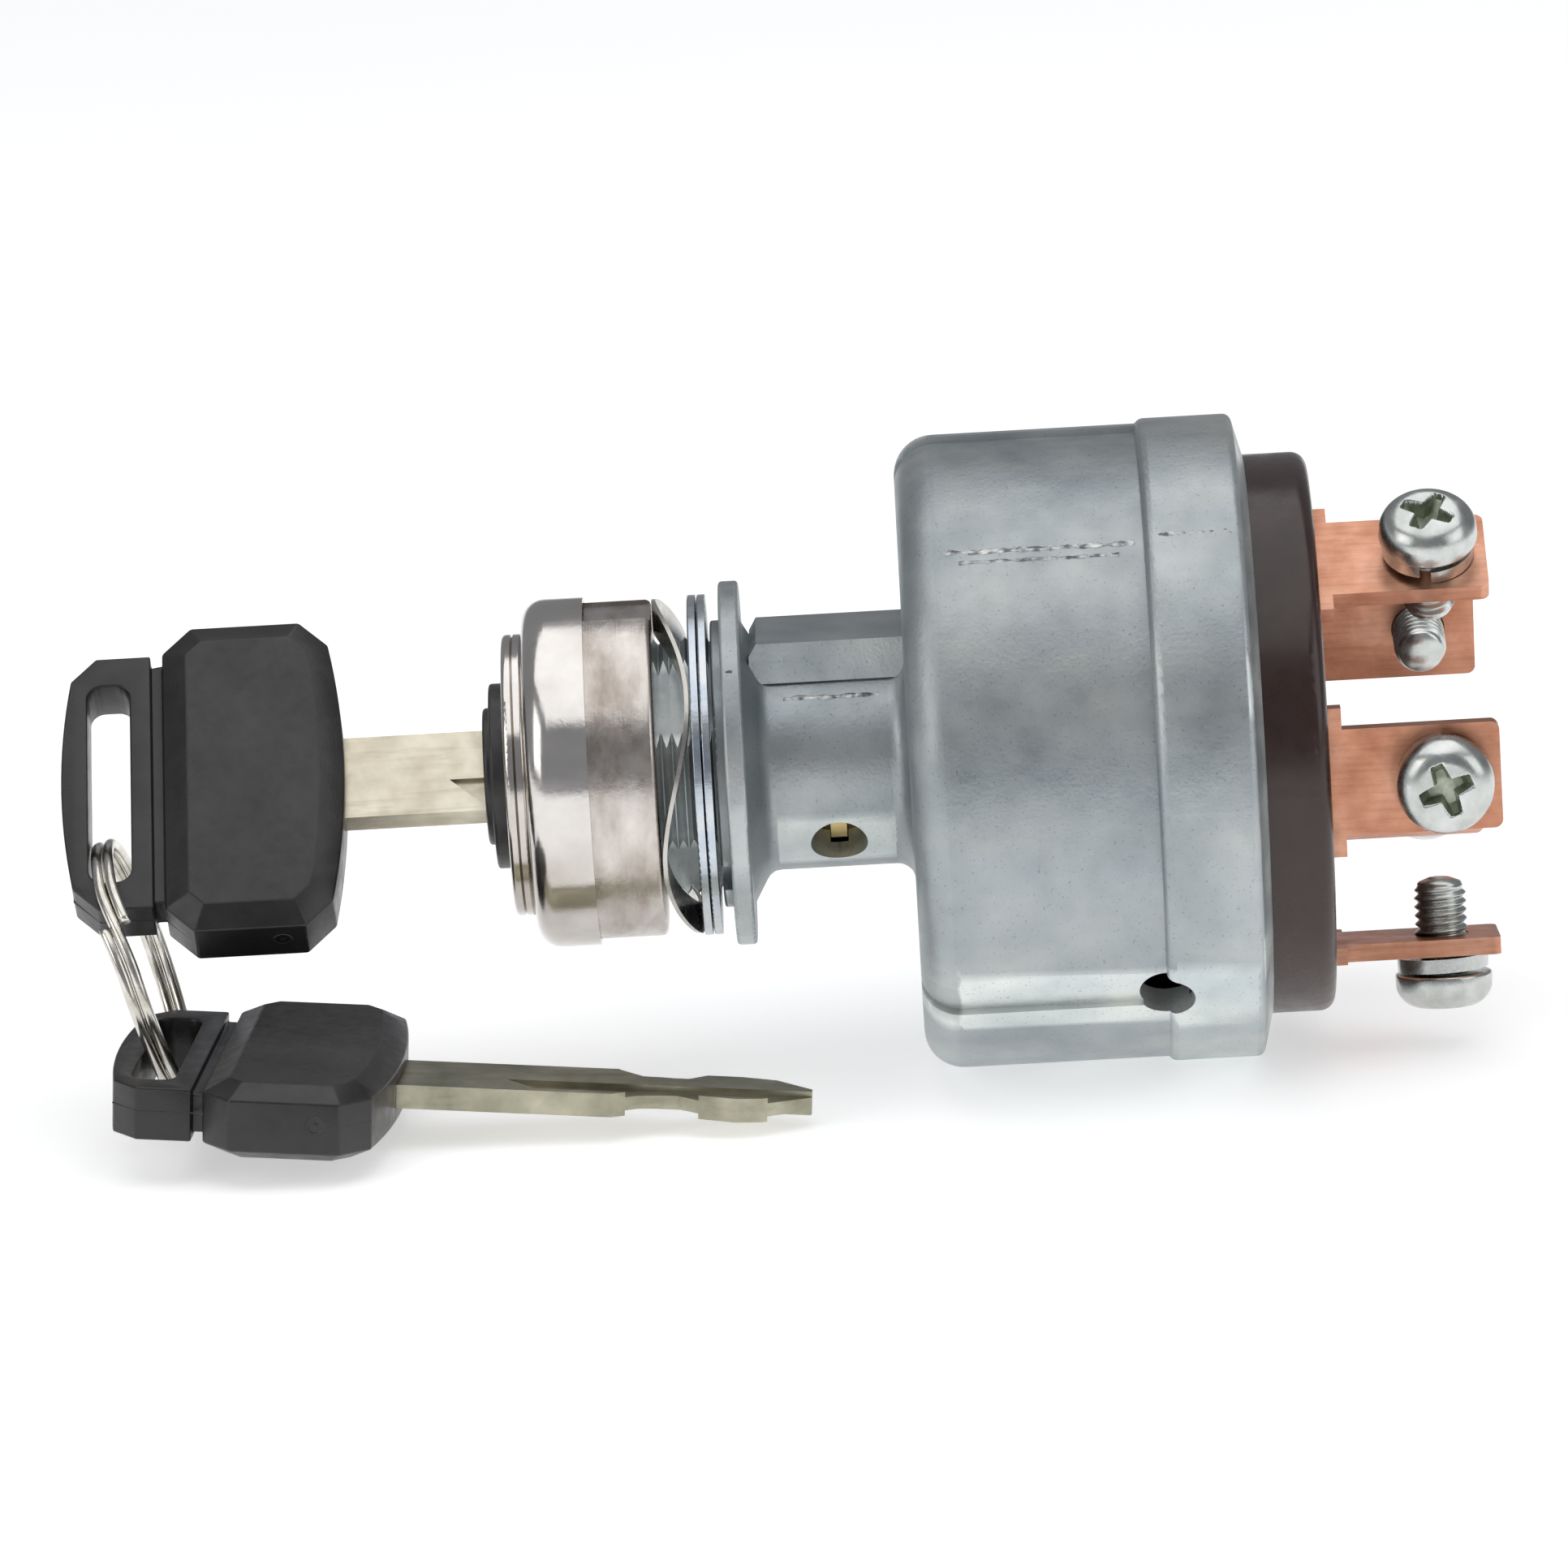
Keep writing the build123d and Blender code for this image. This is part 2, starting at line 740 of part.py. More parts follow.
yaw = radians(spare_yaw)
pitch = radians(spare_pitch)
spare_across = Vector(cos(yaw), -sin(yaw), 0)
spare_along = Vector(sin(yaw) * cos(pitch), cos(yaw) * cos(pitch), sin(pitch))
spare_wire = ring_centre + ring_arm(ring_spare_angle)
spare_origin = (
    spare_wire
    - spare_across * spare_wire_across
    - spare_along * (slot_middle + spare_wire_offset)
)
spare_plane = Plane(
    origin=spare_origin, x_dir=spare_across, z_dir=spare_across.cross(spare_along)
)
write(key_blade(spare_plane), "spare_key_blade")
write(key_head(spare_plane), "spare_key_head")

with BuildPart() as split_ring:
    with BuildSketch(
        Plane(origin=ring_centre, x_dir=(1, 0, 0), z_dir=Vector(1, 0, 0).cross(ring_axis))
    ) as wires:
        for side in (1, -1):
            with Locations((ring_radius, side * (ring_wire / 2 - 0.04))):
                Circle(ring_wire / 2)
    revolve(wires.sketch, axis=Axis(ring_centre, ring_axis))
write(split_ring.part, "split_ring")

# ================= Panel fasteners and bezel =================
for name, front in (
    ("rear_flat_washer", rear_washer_station),
    ("front_flat_washer", rear_washer_station - washer_gap - washer_thickness),
):
    with BuildPart() as washer:
        turned(
            [
                (washer_hole_radius, front),
                (washer_radius, front),
                (washer_radius, front + washer_thickness),
                (washer_hole_radius, front + washer_thickness),
            ],
            rounds=[((washer_radius, front), 0.15)],
        )
    write(washer.part, name)

wave_rear = rear_washer_station - washer_gap - washer_thickness - running_gap
wave_middle = (nut_rear + running_gap + wave_rear) / 2
wave_swing = (wave_rear - nut_rear - running_gap - wave_thickness) / 2 - 0.05
wave_mean_radius = (wave_radius + wave_inner_radius) / 2
wave_sections = 8           # between one crest and the next


def wave_section(angle):
    """Section of the waved strip at a row angle, on a plane that faces round the washer."""
    a = radians(angle)
    outward = Vector(cos(a), 0, sin(a))
    swing = wave_swing * cos(radians(wave_count * (angle - wave_crest_angle)))
    middle = outward * wave_mean_radius + Vector(0, wave_middle - swing, 0)
    with BuildSketch(Plane(origin=middle, x_dir=outward, z_dir=(-sin(a), 0, cos(a)))) as strip:
        Rectangle(wave_radius - wave_inner_radius, wave_thickness)
    return strip.sketch


with BuildPart() as wave_washer:
    for wave in range(wave_count):
        crest = wave_crest_angle + wave * 360 / wave_count
        loft(
            [
                wave_section(crest + step * 360 / wave_count / wave_sections)
                for step in range(wave_sections + 1)
            ]
        )
write(wave_washer.part, "wave_washer")

with BuildPart() as bezel_nut:
    nut_bore = thread_radius + running_gap
    nut_face = shell_front + shell_wall + body_gap
    turned(
        [
            (nut_bore, nut_face),
            (nut_radius - shell_corner + 0.2, nut_face),
            (nut_radius, nut_face + shell_corner - 0.2),
            (nut_radius, nut_rear),
            (nut_bore, nut_rear),
        ],
        rounds=[((nut_radius, nut_rear), 0.6)],
    )
    for angle in (90, -90):
        with BuildSketch(
            radial_plane(angle, (nut_rear + nut_face) / 2, nut_radius - nut_notch_depth)
        ) as nut_notch:
            Rectangle(nut_notch_width, nut_rear - nut_face + 1)
        extrude(nut_notch.sketch, amount=2, mode=Mode.SUBTRACT)
write(bezel_nut.part, "bezel_nut")

with BuildPart() as bezel_shell:
    turned(
        [
            (spigot_radius + running_gap, shell_front),
            (shell_radius, shell_front),
            (shell_radius, shell_rear),
            (shell_radius - shell_wall, shell_rear),
            (shell_radius - shell_wall, shell_front + shell_wall),
            (spigot_radius + running_gap, shell_front + shell_wall),
        ],
        rounds=[
            ((shell_radius, shell_front), shell_corner),
            (
                (shell_radius - shell_wall, shell_front + shell_wall),
                shell_corner - shell_wall,
            ),
        ],
    )
write(bezel_shell.part, "bezel_shell")

with BuildPart() as bezel_plate:
    plate_hole = barrel_radius + running_gap
    bead = (plate_front + shell_front) / 2
    turned(
        [
            (plate_hole, plate_front),
            (plate_radius, plate_front),
            (plate_radius, bead - 0.12),
            (plate_radius - 0.3, bead),
            (plate_radius, bead + 0.12),
            (plate_radius, shell_front),
            (spigot_radius, shell_front),
            (spigot_radius, shell_front + shell_wall),
            (plate_hole, shell_front + shell_wall),
        ],
        rounds=[
            ((plate_radius, plate_front), 0.45),
            ((plate_radius, shell_front), 0.35),
        ],
    )
write(bezel_plate.part, "bezel_plate")

# ================= Contact chamber =================
clip_front = can_front_inner + thrust_washer_thickness + 4 * running_gap
with BuildPart() as drive_shaft:
    pilot_front = rotor_rear + body_gap
    turned(
        [
            (0, tang_front + body_gap),
            (shaft_radius, tang_front + body_gap),
            (shaft_radius, clip_front - running_gap),
            (shaft_radius - clip_groove_depth, clip_front - running_gap),
            (shaft_radius - clip_groove_depth, clip_front + clip_thickness + running_gap),
            (shaft_radius, clip_front + clip_thickness + running_gap),
            (shaft_radius, pilot_front),
            (pilot_radius, pilot_front),
            (pilot_radius, base_inner_face + 3.0),
            (0, base_inner_face + 3.0),
        ]
    )
    with BuildSketch(station(tang_front)) as tang_flats:
        Rectangle(2 * shaft_radius + 1, 2 * shaft_radius + 1)
        Rectangle(2 * shaft_radius + 1, tang_thickness, mode=Mode.SUBTRACT)
    extrude(tang_flats.sketch, amount=-(barrel_rear - tang_front), mode=Mode.SUBTRACT)
    with BuildSketch(station(rotor_front - 0.5)) as rotor_flats:
        Rectangle(2 * shaft_radius + 1, 2 * shaft_radius + 1)
        Rectangle(2 * shaft_radius + 1, 2 * shaft_flat_distance, mode=Mode.SUBTRACT)
    extrude(rotor_flats.sketch, amount=-(rotor_rear - rotor_front + 1), mode=Mode.SUBTRACT)
write(drive_shaft.part, "drive_shaft")

with BuildPart() as thrust_washer:
    thrust_front = can_front_inner + running_gap
    collar(
        thrust_washer_radius,
        shaft_bore_radius,
        thrust_front,
        thrust_front + thrust_washer_thickness,
    )
write(thrust_washer.part, "thrust_washer")

with BuildPart() as shaft_clip:
    clip_bore = shaft_radius - clip_groove_depth + running_gap
    collar(clip_radius, clip_bore, clip_front, clip_front + clip_thickness)
    with BuildSketch(station(clip_front)) as clip_gap:
        with Locations((0, -clip_radius)):
            Rectangle(clip_bore, 2 * clip_radius)
    extrude(clip_gap.sketch, amount=-clip_thickness, mode=Mode.SUBTRACT)
write(shaft_clip.part, "shaft_clip")

ball_angles = (90.0, 270.0)
detent_rear = can_front_inner + detent_plate_thickness
ball_station = detent_rear + running_gap + detent_ball_radius
with BuildPart() as detent_plate:
    collar(rotor_radius, 10.5, can_front_inner, detent_rear)
    for ball_angle in ball_angles:
        for detent_angle in detent_angles:
            x, z = polar(detent_radius, ball_angle - detent_angle)
            with Locations((x, detent_rear + detent_ball_radius - 0.35, z)):
                Sphere(detent_ball_radius + 0.05, mode=Mode.SUBTRACT)
write(detent_plate.part, "detent_plate")

with BuildPart() as detent_balls:
    for ball_angle in ball_angles:
        x, z = polar(detent_radius, ball_angle)
        with Locations((x, ball_station, z)):
            Sphere(detent_ball_radius)
write(detent_balls.part, "detent_balls")

ball_pocket_end = rotor_front + 6.4
with BuildPart() as detent_springs:
    for ball_angle in ball_angles:
        x, z = polar(detent_radius, ball_angle)
        spring_front = ball_station + detent_ball_radius + 0.05
        coil_spring(
            Plane(origin=(x, spring_front, z), z_dir=(0, 1, 0)),
            detent_spring_radius,
            detent_spring_wire,
            ball_pocket_end - spring_front - 0.05,
            5,
        )
write(detent_springs.part, "detent_springs")

with BuildPart() as return_spring:
    coil_spring(
        Plane(origin=(0, can_front_inner + 1.9, 0), z_dir=(0, 1, 0)),
        return_spring_radius,
        return_spring_wire,
        return_spring_length,
        3,
    )
write(return_spring.part, "return_spring")

bridge_angles = (0.0, 120.0, 240.0)
spring_seat = rotor_rear - 3.5
with BuildPart() as contact_rotor:
    collar(rotor_radius, 0, rotor_front, rotor_rear)
    with BuildSketch(station(rotor_rear)) as boss:
        Rectangle(2 * rotor_boss_half, 2 * rotor_boss_half)
    extrude(boss.sketch, amount=-(rotor_boss_end - rotor_rear))
    collar(9.2, 0, rotor_front, rotor_front + 3.2, Mode.SUBTRACT)
    with BuildSketch(station(rotor_front)) as rotor_bore:
        Circle(shaft_bore_radius)
        with Locations((0, shaft_flat_distance + running_gap + 2)):
            Rectangle(3 * shaft_radius, 4, mode=Mode.SUBTRACT)
        with Locations((0, -shaft_flat_distance - running_gap - 2)):
            Rectangle(3 * shaft_radius, 4, mode=Mode.SUBTRACT)
    extrude(
        rotor_bore.sketch, amount=-(rotor_rear - rotor_front), mode=Mode.SUBTRACT
    )
    collar(pilot_radius + 0.1, 0, rotor_rear, rotor_boss_end, Mode.SUBTRACT)
    collar(shaft_bore_radius, 0, rotor_rear, pilot_front + 0.1, Mode.SUBTRACT)
    for ball_angle in ball_angles:
        with BuildSketch(station(rotor_front)) as ball_pocket:
            with Locations(polar(detent_radius, ball_angle)):
                Circle(detent_ball_radius + running_gap)
        extrude(
            ball_pocket.sketch,
            amount=-(ball_pocket_end - rotor_front),
            mode=Mode.SUBTRACT,
        )
    for bridge_angle in bridge_angles:
        with BuildSketch(station(spring_seat)) as spring_pocket:
            with Locations(polar(contact_radius, bridge_angle)):
                Circle(contact_spring_bore)
        extrude(
            spring_pocket.sketch,
            amount=-(rotor_rear - spring_seat),
            mode=Mode.SUBTRACT,
        )
write(contact_rotor.part, "contact_rotor")

with BuildPart() as contact_springs:
    for bridge_angle in bridge_angles:
        x, z = polar(contact_radius, bridge_angle)
        coil_spring(
            Plane(origin=(x, spring_seat + 0.05, z), z_dir=(0, 1, 0)),
            contact_spring_radius,
            contact_spring_wire,
            bridge_front - spring_seat - 0.1,
            4,
        )
write(contact_springs.part, "contact_springs")

contact_face = base_inner_face - foot_thickness - 1.0
with BuildPart() as contact_bridge:
    with BuildSketch(station(bridge_front)) as bridge:
        Circle(bridge_hub_radius)
        for bridge_angle in bridge_angles:
            with Locations(Rotation(0, 0, bridge_angle)):
                with Locations((contact_radius / 2, 0)):
                    Rectangle(contact_radius, bridge_arm_width)
            with Locations(polar(contact_radius, bridge_angle)):
                Circle(bridge_arm_width / 2)
        hole = 2 * (rotor_boss_half + running_gap)
        Rectangle(hole, hole, mode=Mode.SUBTRACT)
    extrude(bridge.sketch, amount=-bridge_thickness)
    for bridge_angle in bridge_angles:
        with BuildSketch(station(bridge_front + bridge_thickness)) as pip:
            with Locations(polar(contact_radius, bridge_angle)):
                Circle(pip_radius)
        extrude(
            pip.sketch,
            amount=-(contact_face - body_gap - bridge_front - bridge_thickness),
        )
write(contact_bridge.part, "contact_bridge")

with BuildPart() as base_gasket:
    collar(base_flange_radius, can_bore_radius - 0.6, chamber_step, base_flange_front)
write(base_gasket.part, "base_gasket")

# ================= Terminals =================
blade_inner = terminal_radius - terminal_thickness / 2
blade_outer = terminal_radius + terminal_thickness / 2

with BuildPart() as terminal_base:
    turned(
        [
            (0, base_inner_face),
            (base_inner_radius, base_inner_face),
            (base_inner_radius, base_flange_front),
            (base_flange_radius, base_flange_front),
            (base_flange_radius, base_flange_rear),
            (base_radius, base_flange_rear),
            (base_radius, base_rear),
            (0, base_rear),
        ],
        rounds=[((base_radius, base_rear), base_edge)],
    )
    collar(
        pilot_radius + running_gap, 0, base_inner_face, base_inner_face + 3.4, Mode.SUBTRACT
    )
    for angle in terminal_angles:
        with BuildSketch(radial_plane(angle, (base_inner_face + base_rear) / 2, blade_inner)) as way:
            Rectangle(shank_width, base_rear - base_inner_face)
        extrude(way.sketch, amount=terminal_thickness, mode=Mode.SUBTRACT)
write(terminal_base.part, "terminal_base")

for number, angle in enumerate(terminal_angles, start=1):
    with BuildPart() as terminal:
        with BuildSketch(radial_plane(angle, 0, blade_inner)) as blade:
            with Locations((0, (base_rear + terminal_end) / 2)):
                Rectangle(terminal_width, terminal_end - base_rear)
            fillet(
                blade.vertices().group_by(Axis.Y)[-1],
                terminal_corner,
            )
            with Locations((0, base_rear + ear_height / 2)):
                Rectangle(ear_width, ear_height)
            with Locations((0, (base_inner_face + base_rear) / 2)):
                Rectangle(shank_width, base_rear - base_inner_face)
            with Locations((0, screw_station)):
                Circle(screw_radius + 0.02, mode=Mode.SUBTRACT)
        extrude(blade.sketch, amount=terminal_thickness)
        with BuildSketch(station(base_inner_face)) as foot:
            with Locations(Rotation(0, 0, angle)):
                foot_length = blade_outer - contact_radius + 2.5
                with Locations((contact_radius - 2.5 + foot_length / 2, 0)):
                    Rectangle(foot_length, shank_width)
        extrude(foot.sketch, amount=foot_thickness)
    write(terminal.part, f"terminal_{number}")

with BuildPart() as fixed_contacts:
    for angle in terminal_angles:
        with BuildSketch(station(base_inner_face - foot_thickness)) as button:
            with Locations(polar(contact_radius, angle)):
                Circle(button_radius)
        extrude(button.sketch, amount=1.0)
write(fixed_contacts.part, "fixed_contacts")

head_seat = blade_outer + washer_stack


def screw_outline():
    """Half section of a terminal screw: thread, then the pan head, as (radius, height) points."""
    turns = 10
    pitch = 0.8
    tip = blade_inner - screw_length - head_seat
    return (
        [(0, tip - 0.1), (screw_radius - 0.5, tip - 0.1)]
        + thread_outline(screw_radius, 0.43, pitch, turns, tip + 0.2)
        + [
            (screw_radius, 0),
            (screw_head_radius, 0),
            (screw_head_radius, screw_head_height),
            (0, screw_head_height),
        ]
    )


with BuildPart() as terminal_screws:
    for angle in terminal_angles:
        seat = radial_plane(angle, screw_station, head_seat)
        half = Plane(
            origin=seat.origin, x_dir=(0, 1, 0), z_dir=Vector(0, 1, 0).cross(seat.z_dir)
        )
        with BuildSketch(half) as screw:
            with BuildLine():
                Polyline(*screw_outline(), close=True)
            make_face()
            crown = screw.vertices().sort_by_distance((screw_head_radius, screw_head_height))[0]
            fillet(crown, screw_head_crown)
            rim = screw.vertices().sort_by_distance((screw_head_radius, 0))[0]
            fillet(rim, 0.35)
        revolve(screw.sketch, axis=Axis(seat.origin, seat.z_dir))
        with BuildSketch(seat.offset(screw_head_height - screw_recess_depth)) as cross:
            Rectangle(screw_recess, screw_recess_width, rotation=20)
            Rectangle(screw_recess_width, screw_recess, rotation=20)
        extrude(cross.sketch, amount=screw_head_height, mode=Mode.SUBTRACT)
write(terminal_screws.part, "terminal_screws")

with BuildPart() as lock_washers:
    spread = washer_stack - lock_washer_thickness - 0.06
    for angle in terminal_angles:
        seat = radial_plane(angle, screw_station, blade_outer + lock_washer_thickness / 2 + 0.02)
        inner = screw_radius + 0.15
        middle = (inner + lock_washer_radius) / 2
        with BuildLine() as turn_line:
            Helix(
                pitch=spread / lock_washer_turn,
                height=spread,
                radius=middle,
                center=seat.origin,
                direction=seat.z_dir,
            )
        start = turn_line.line @ 0
        with BuildSketch(
            Plane(origin=start, x_dir=start - seat.origin, z_dir=turn_line.line % 0)
        ) as wire:
            Rectangle(lock_washer_radius - inner, lock_washer_thickness)
        sweep(wire.sketch, path=turn_line.line, is_frenet=True)
write(lock_washers.part, "lock_washers")
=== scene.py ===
import bpy
import bmesh
from math import cos, pi, radians, sin
from mathutils import Matrix, Vector, noise


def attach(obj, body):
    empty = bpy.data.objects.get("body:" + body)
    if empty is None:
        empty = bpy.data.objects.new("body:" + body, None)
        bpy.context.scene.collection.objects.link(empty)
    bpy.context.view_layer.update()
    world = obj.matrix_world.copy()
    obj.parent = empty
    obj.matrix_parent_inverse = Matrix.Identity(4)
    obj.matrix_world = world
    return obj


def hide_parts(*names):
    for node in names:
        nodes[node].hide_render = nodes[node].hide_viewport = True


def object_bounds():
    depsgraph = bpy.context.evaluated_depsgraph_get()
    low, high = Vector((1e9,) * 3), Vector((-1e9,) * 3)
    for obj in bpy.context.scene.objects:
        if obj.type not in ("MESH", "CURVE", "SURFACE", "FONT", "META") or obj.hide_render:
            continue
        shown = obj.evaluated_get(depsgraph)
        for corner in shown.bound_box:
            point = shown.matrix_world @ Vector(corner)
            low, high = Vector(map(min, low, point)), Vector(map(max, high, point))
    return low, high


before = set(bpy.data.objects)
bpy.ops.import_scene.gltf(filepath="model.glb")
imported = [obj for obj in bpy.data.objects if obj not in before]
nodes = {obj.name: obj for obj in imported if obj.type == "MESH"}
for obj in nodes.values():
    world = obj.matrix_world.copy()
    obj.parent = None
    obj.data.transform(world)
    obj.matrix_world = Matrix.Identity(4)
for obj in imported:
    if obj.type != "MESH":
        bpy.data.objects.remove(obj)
cad_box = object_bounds()

# ---- Studio ----
# A pale sweep of painted board under the switch, three soft boxes and a white room.
# The switch lies on the lip of its can, so the board is level with the lowest point.
elevation, turn, roll = radians(13.5), radians(-0.733), radians(3.192)
aim = Vector((0.0, 0.00525, 0.0))
distance = 1.0995

level = Vector((0, cos(turn), 0)) + Vector((cos(elevation), 0, sin(elevation))) * sin(turn)
towards_camera = Vector((cos(elevation), 0, sin(elevation))) * cos(turn) - Vector((0, sin(turn), 0))
upright = Vector((-sin(elevation), 0, cos(elevation)))
camera_right = level * cos(roll) - upright * sin(roll)
camera_up = level * sin(roll) + upright * cos(roll)
camera_place = aim - camera_up * 0.00223 + towards_camera * distance

lens = bpy.data.cameras.new("studio_camera")
lens.lens = 270.4
lens.sensor_width = 36.0
lens.clip_start = 0.05
camera = bpy.data.objects.new("studio_camera", lens)
camera.matrix_world = Matrix.Translation(camera_place) @ Matrix(
    (camera_right, camera_up, towards_camera)
).transposed().to_4x4()
bpy.context.scene.collection.objects.link(camera)
bpy.context.scene.camera = camera


def soft_box(name, place, size, power, colour=(1.0, 1.0, 1.0)):
    """A square soft box that faces the middle of the switch."""
    box = bpy.data.lights.new(name, "AREA")
    box.size = size
    box.energy = power
    box.color = colour
    lamp = bpy.data.objects.new(name, box)
    lamp.location = place
    lamp.rotation_euler = (Vector(place) - aim).to_track_quat("Z", "Y").to_euler()
    bpy.context.scene.collection.objects.link(lamp)


soft_box("top_soft_box", (0.05, 0.05, 0.90), 1.20, 4.9)
soft_box("key_side_soft_box", (0.60, -0.85, 0.50), 0.70, 2.3, (1.0, 0.985, 0.96))
soft_box("terminal_side_soft_box", (0.50, 0.95, 0.45), 0.70, 1.9, (0.96, 0.98, 1.0))

room = bpy.data.worlds.new("white_room")
room.use_nodes = True
sky = room.node_tree.nodes["Background"]
sky.inputs["Color"].default_value = (0.93, 0.95, 1.0, 1.0)
sky.inputs["Strength"].default_value = 0.26
bpy.context.scene.world = room
bpy.context.scene.view_settings.view_transform = "Standard"


def surface(name, roughness=0.5, metallic=0.0, coat=0.0):
    """A new principled material, with its node tree, shader and object coordinates."""
    material = bpy.data.materials.new(name)
    material.use_nodes = True
    tree = material.node_tree
    shader = tree.nodes["Principled BSDF"]
    shader.inputs["Roughness"].default_value = roughness
    shader.inputs["Metallic"].default_value = metallic
    if coat:
        shader.inputs["Coat Weight"].default_value = coat
        shader.inputs["Coat Roughness"].default_value = 0.12
    place = tree.nodes.new("ShaderNodeTexCoord").outputs["Object"]
    return material, tree, shader, place


def grain(tree, place, scale, detail=4.0, stretch=(1.0, 1.0, 1.0), rough=0.55):
    """Noise over the piece; scale is in waves per metre, and stretch thins it along an axis."""
    mapping = tree.nodes.new("ShaderNodeMapping")
    mapping.inputs["Scale"].default_value = stretch
    tree.links.new(place, mapping.inputs["Vector"])
    waves = tree.nodes.new("ShaderNodeTexNoise")
    waves.inputs["Scale"].default_value = scale
    waves.inputs["Detail"].default_value = detail
    waves.inputs["Roughness"].default_value = rough
    tree.links.new(mapping.outputs["Vector"], waves.inputs["Vector"])
    return waves.outputs["Fac"]


def shades(tree, source, *stops):
    """Turns a grey pattern into colours, from (place, colour) stops."""
    ramp = tree.nodes.new("ShaderNodeValToRGB")
    band = ramp.color_ramp
    for number, (where, colour) in enumerate(stops):
        stop = band.elements[number] if number < 2 else band.elements.new(where)
        stop.position = where
        stop.color = (*colour, 1.0) if len(colour) == 3 else colour
    tree.links.new(source, ramp.inputs["Fac"])
    return ramp.outputs["Color"]


def multiplied(tree, first, second, amount=1.0):
    """One colour darkened by another."""
    mix = tree.nodes.new("ShaderNodeMix")
    mix.data_type = "RGBA"
    mix.blend_type = "MULTIPLY"
    mix.inputs["Factor"].default_value = amount
    tree.links.new(first, mix.inputs["A"])
    tree.links.new(second, mix.inputs["B"])
    return mix.outputs["Result"]


def spread(tree, source, low, high):
    """A pattern brought to the range from low to high, as for a roughness."""
    reach = tree.nodes.new("ShaderNodeMapRange")
    reach.inputs["From Min"].default_value = 0.3
    reach.inputs["From Max"].default_value = 0.7
    reach.inputs["To Min"].default_value = low
    reach.inputs["To Max"].default_value = high
    tree.links.new(source, reach.inputs["Value"])
    return reach.outputs["Result"]


def raised(tree, shader, source, height, before=None):
    """Relief of the given height in metres, from a pattern, over any relief before it."""
    relief = tree.nodes.new("ShaderNodeBump")
    relief.inputs["Distance"].default_value = height
    relief.inputs["Strength"].default_value = 0.9
    tree.links.new(source, relief.inputs["Height"])
    if before is not None:
        tree.links.new(before, relief.inputs["Normal"])
    tree.links.new(relief.outputs["Normal"], shader.inputs["Normal"])
    return relief.outputs["Normal"]


def finish(material, *names):
    """Gives CAD nodes one material in all their slots."""
    for name in names:
        slots = nodes[name].material_slots
        if not slots:
            nodes[name].data.materials.append(material)
        for one in nodes[name].material_slots:
            one.material = material


board_paint, tree, shader, place = surface("board_paint", roughness=0.7)
tree.links.new(
    shades(tree, grain(tree, place, 9.0), (0.3, (0.90, 0.905, 0.91)), (0.7, (0.925, 0.925, 0.925))),
    shader.inputs["Base Color"],
)
raised(tree, shader, grain(tree, place, 900.0), 0.00002)
shader.inputs["Emission Color"].default_value = (1.0, 1.0, 1.0, 1.0)
shader.inputs["Emission Strength"].default_value = 0.50
sheet = bmesh.new()
half_board = 4.0
board_gap = 0.0002
corners = (
    (-half_board, -half_board),
    (half_board, -half_board),
    (half_board, half_board),
    (-half_board, half_board),
)
sheet.faces.new([sheet.verts.new((x, y, cad_box[0][2] - board_gap)) for x, y in corners])
board_mesh = bpy.data.meshes.new("painted_board")
sheet.to_mesh(board_mesh)
sheet.free()
board = bpy.data.objects.new("painted_board", board_mesh)
board_mesh.materials.append(board_paint)
bpy.context.scene.collection.objects.link(board)

# ---- Housing ----
# One zinc die casting: threaded neck, flange, rib and can in a single piece, left as cast.
# Its skin is mottled blue-grey, with fine dark pits and faint flow marks, and a highlight is painted
# along its sharp edges.
cast_zinc, tree, shader, place = surface("cast_zinc", metallic=0.82)
clouds = shades(
    tree,
    grain(tree, place, 95.0, detail=6.0),
    (0.30, (0.330, 0.365, 0.375)),
    (0.52, (0.420, 0.450, 0.455)),
    (0.72, (0.500, 0.515, 0.505)),
)
pits = shades(
    tree,
    grain(tree, place, 3600.0, detail=2.0, rough=0.4),
    (0.27, (0.52, 0.54, 0.57)),
    (0.35, (1.0, 1.0, 1.0)),
)
flow = shades(
    tree,
    grain(tree, place, 160.0, detail=5.0, stretch=(1.0, 0.18, 1.0)),
    (0.35, (0.86, 0.89, 0.93)),
    (0.60, (1.0, 1.0, 1.0)),
)
skin = multiplied(tree, multiplied(tree, clouds, flow, 0.7), pits, 0.6)
# Painted highlight along the sharp edges: where pointiness is high, the colour is made up to 1.75 times
# brighter.
painted_edge_highlight_mask = tree.nodes.new("ShaderNodeNewGeometry").outputs["Pointiness"]
bright = shades(tree, painted_edge_highlight_mask, (0.510, (1.0, 1.0, 1.0)), (0.56, (1.75, 1.72, 1.66)))
tree.links.new(multiplied(tree, skin, bright), shader.inputs["Base Color"])
tree.links.new(
    spread(tree, grain(tree, place, 260.0, detail=5.0), 0.36, 0.52), shader.inputs["Roughness"]
)
low_relief = raised(tree, shader, grain(tree, place, 210.0, detail=5.0), 0.00010)
raised(tree, shader, grain(tree, place, 2600.0, detail=3.0), 0.000035, before=low_relief)
finish(cast_zinc, "housing")


# The die's parting line: a low, torn ridge where the two halves of the mould met along the can,
# the lip and the neck. It was trimmed by hand and is left rough.
torn_zinc, tree, shader, place = surface("torn_zinc", metallic=0.9)
tree.links.new(
    shades(
        tree,
        grain(tree, place, 1500.0, detail=4.0, stretch=(1.0, 0.6, 1.0)),
        (0.40, (0.15, 0.16, 0.17)),
        (0.52, (0.45, 0.47, 0.47)),
        (0.64, (0.72, 0.72, 0.69)),
    ),
    shader.inputs["Base Color"],
)
tree.links.new(spread(tree, grain(tree, place, 1200.0), 0.30, 0.55), shader.inputs["Roughness"])
raised(tree, shader, grain(tree, place, 2200.0, detail=4.0), 0.00008)


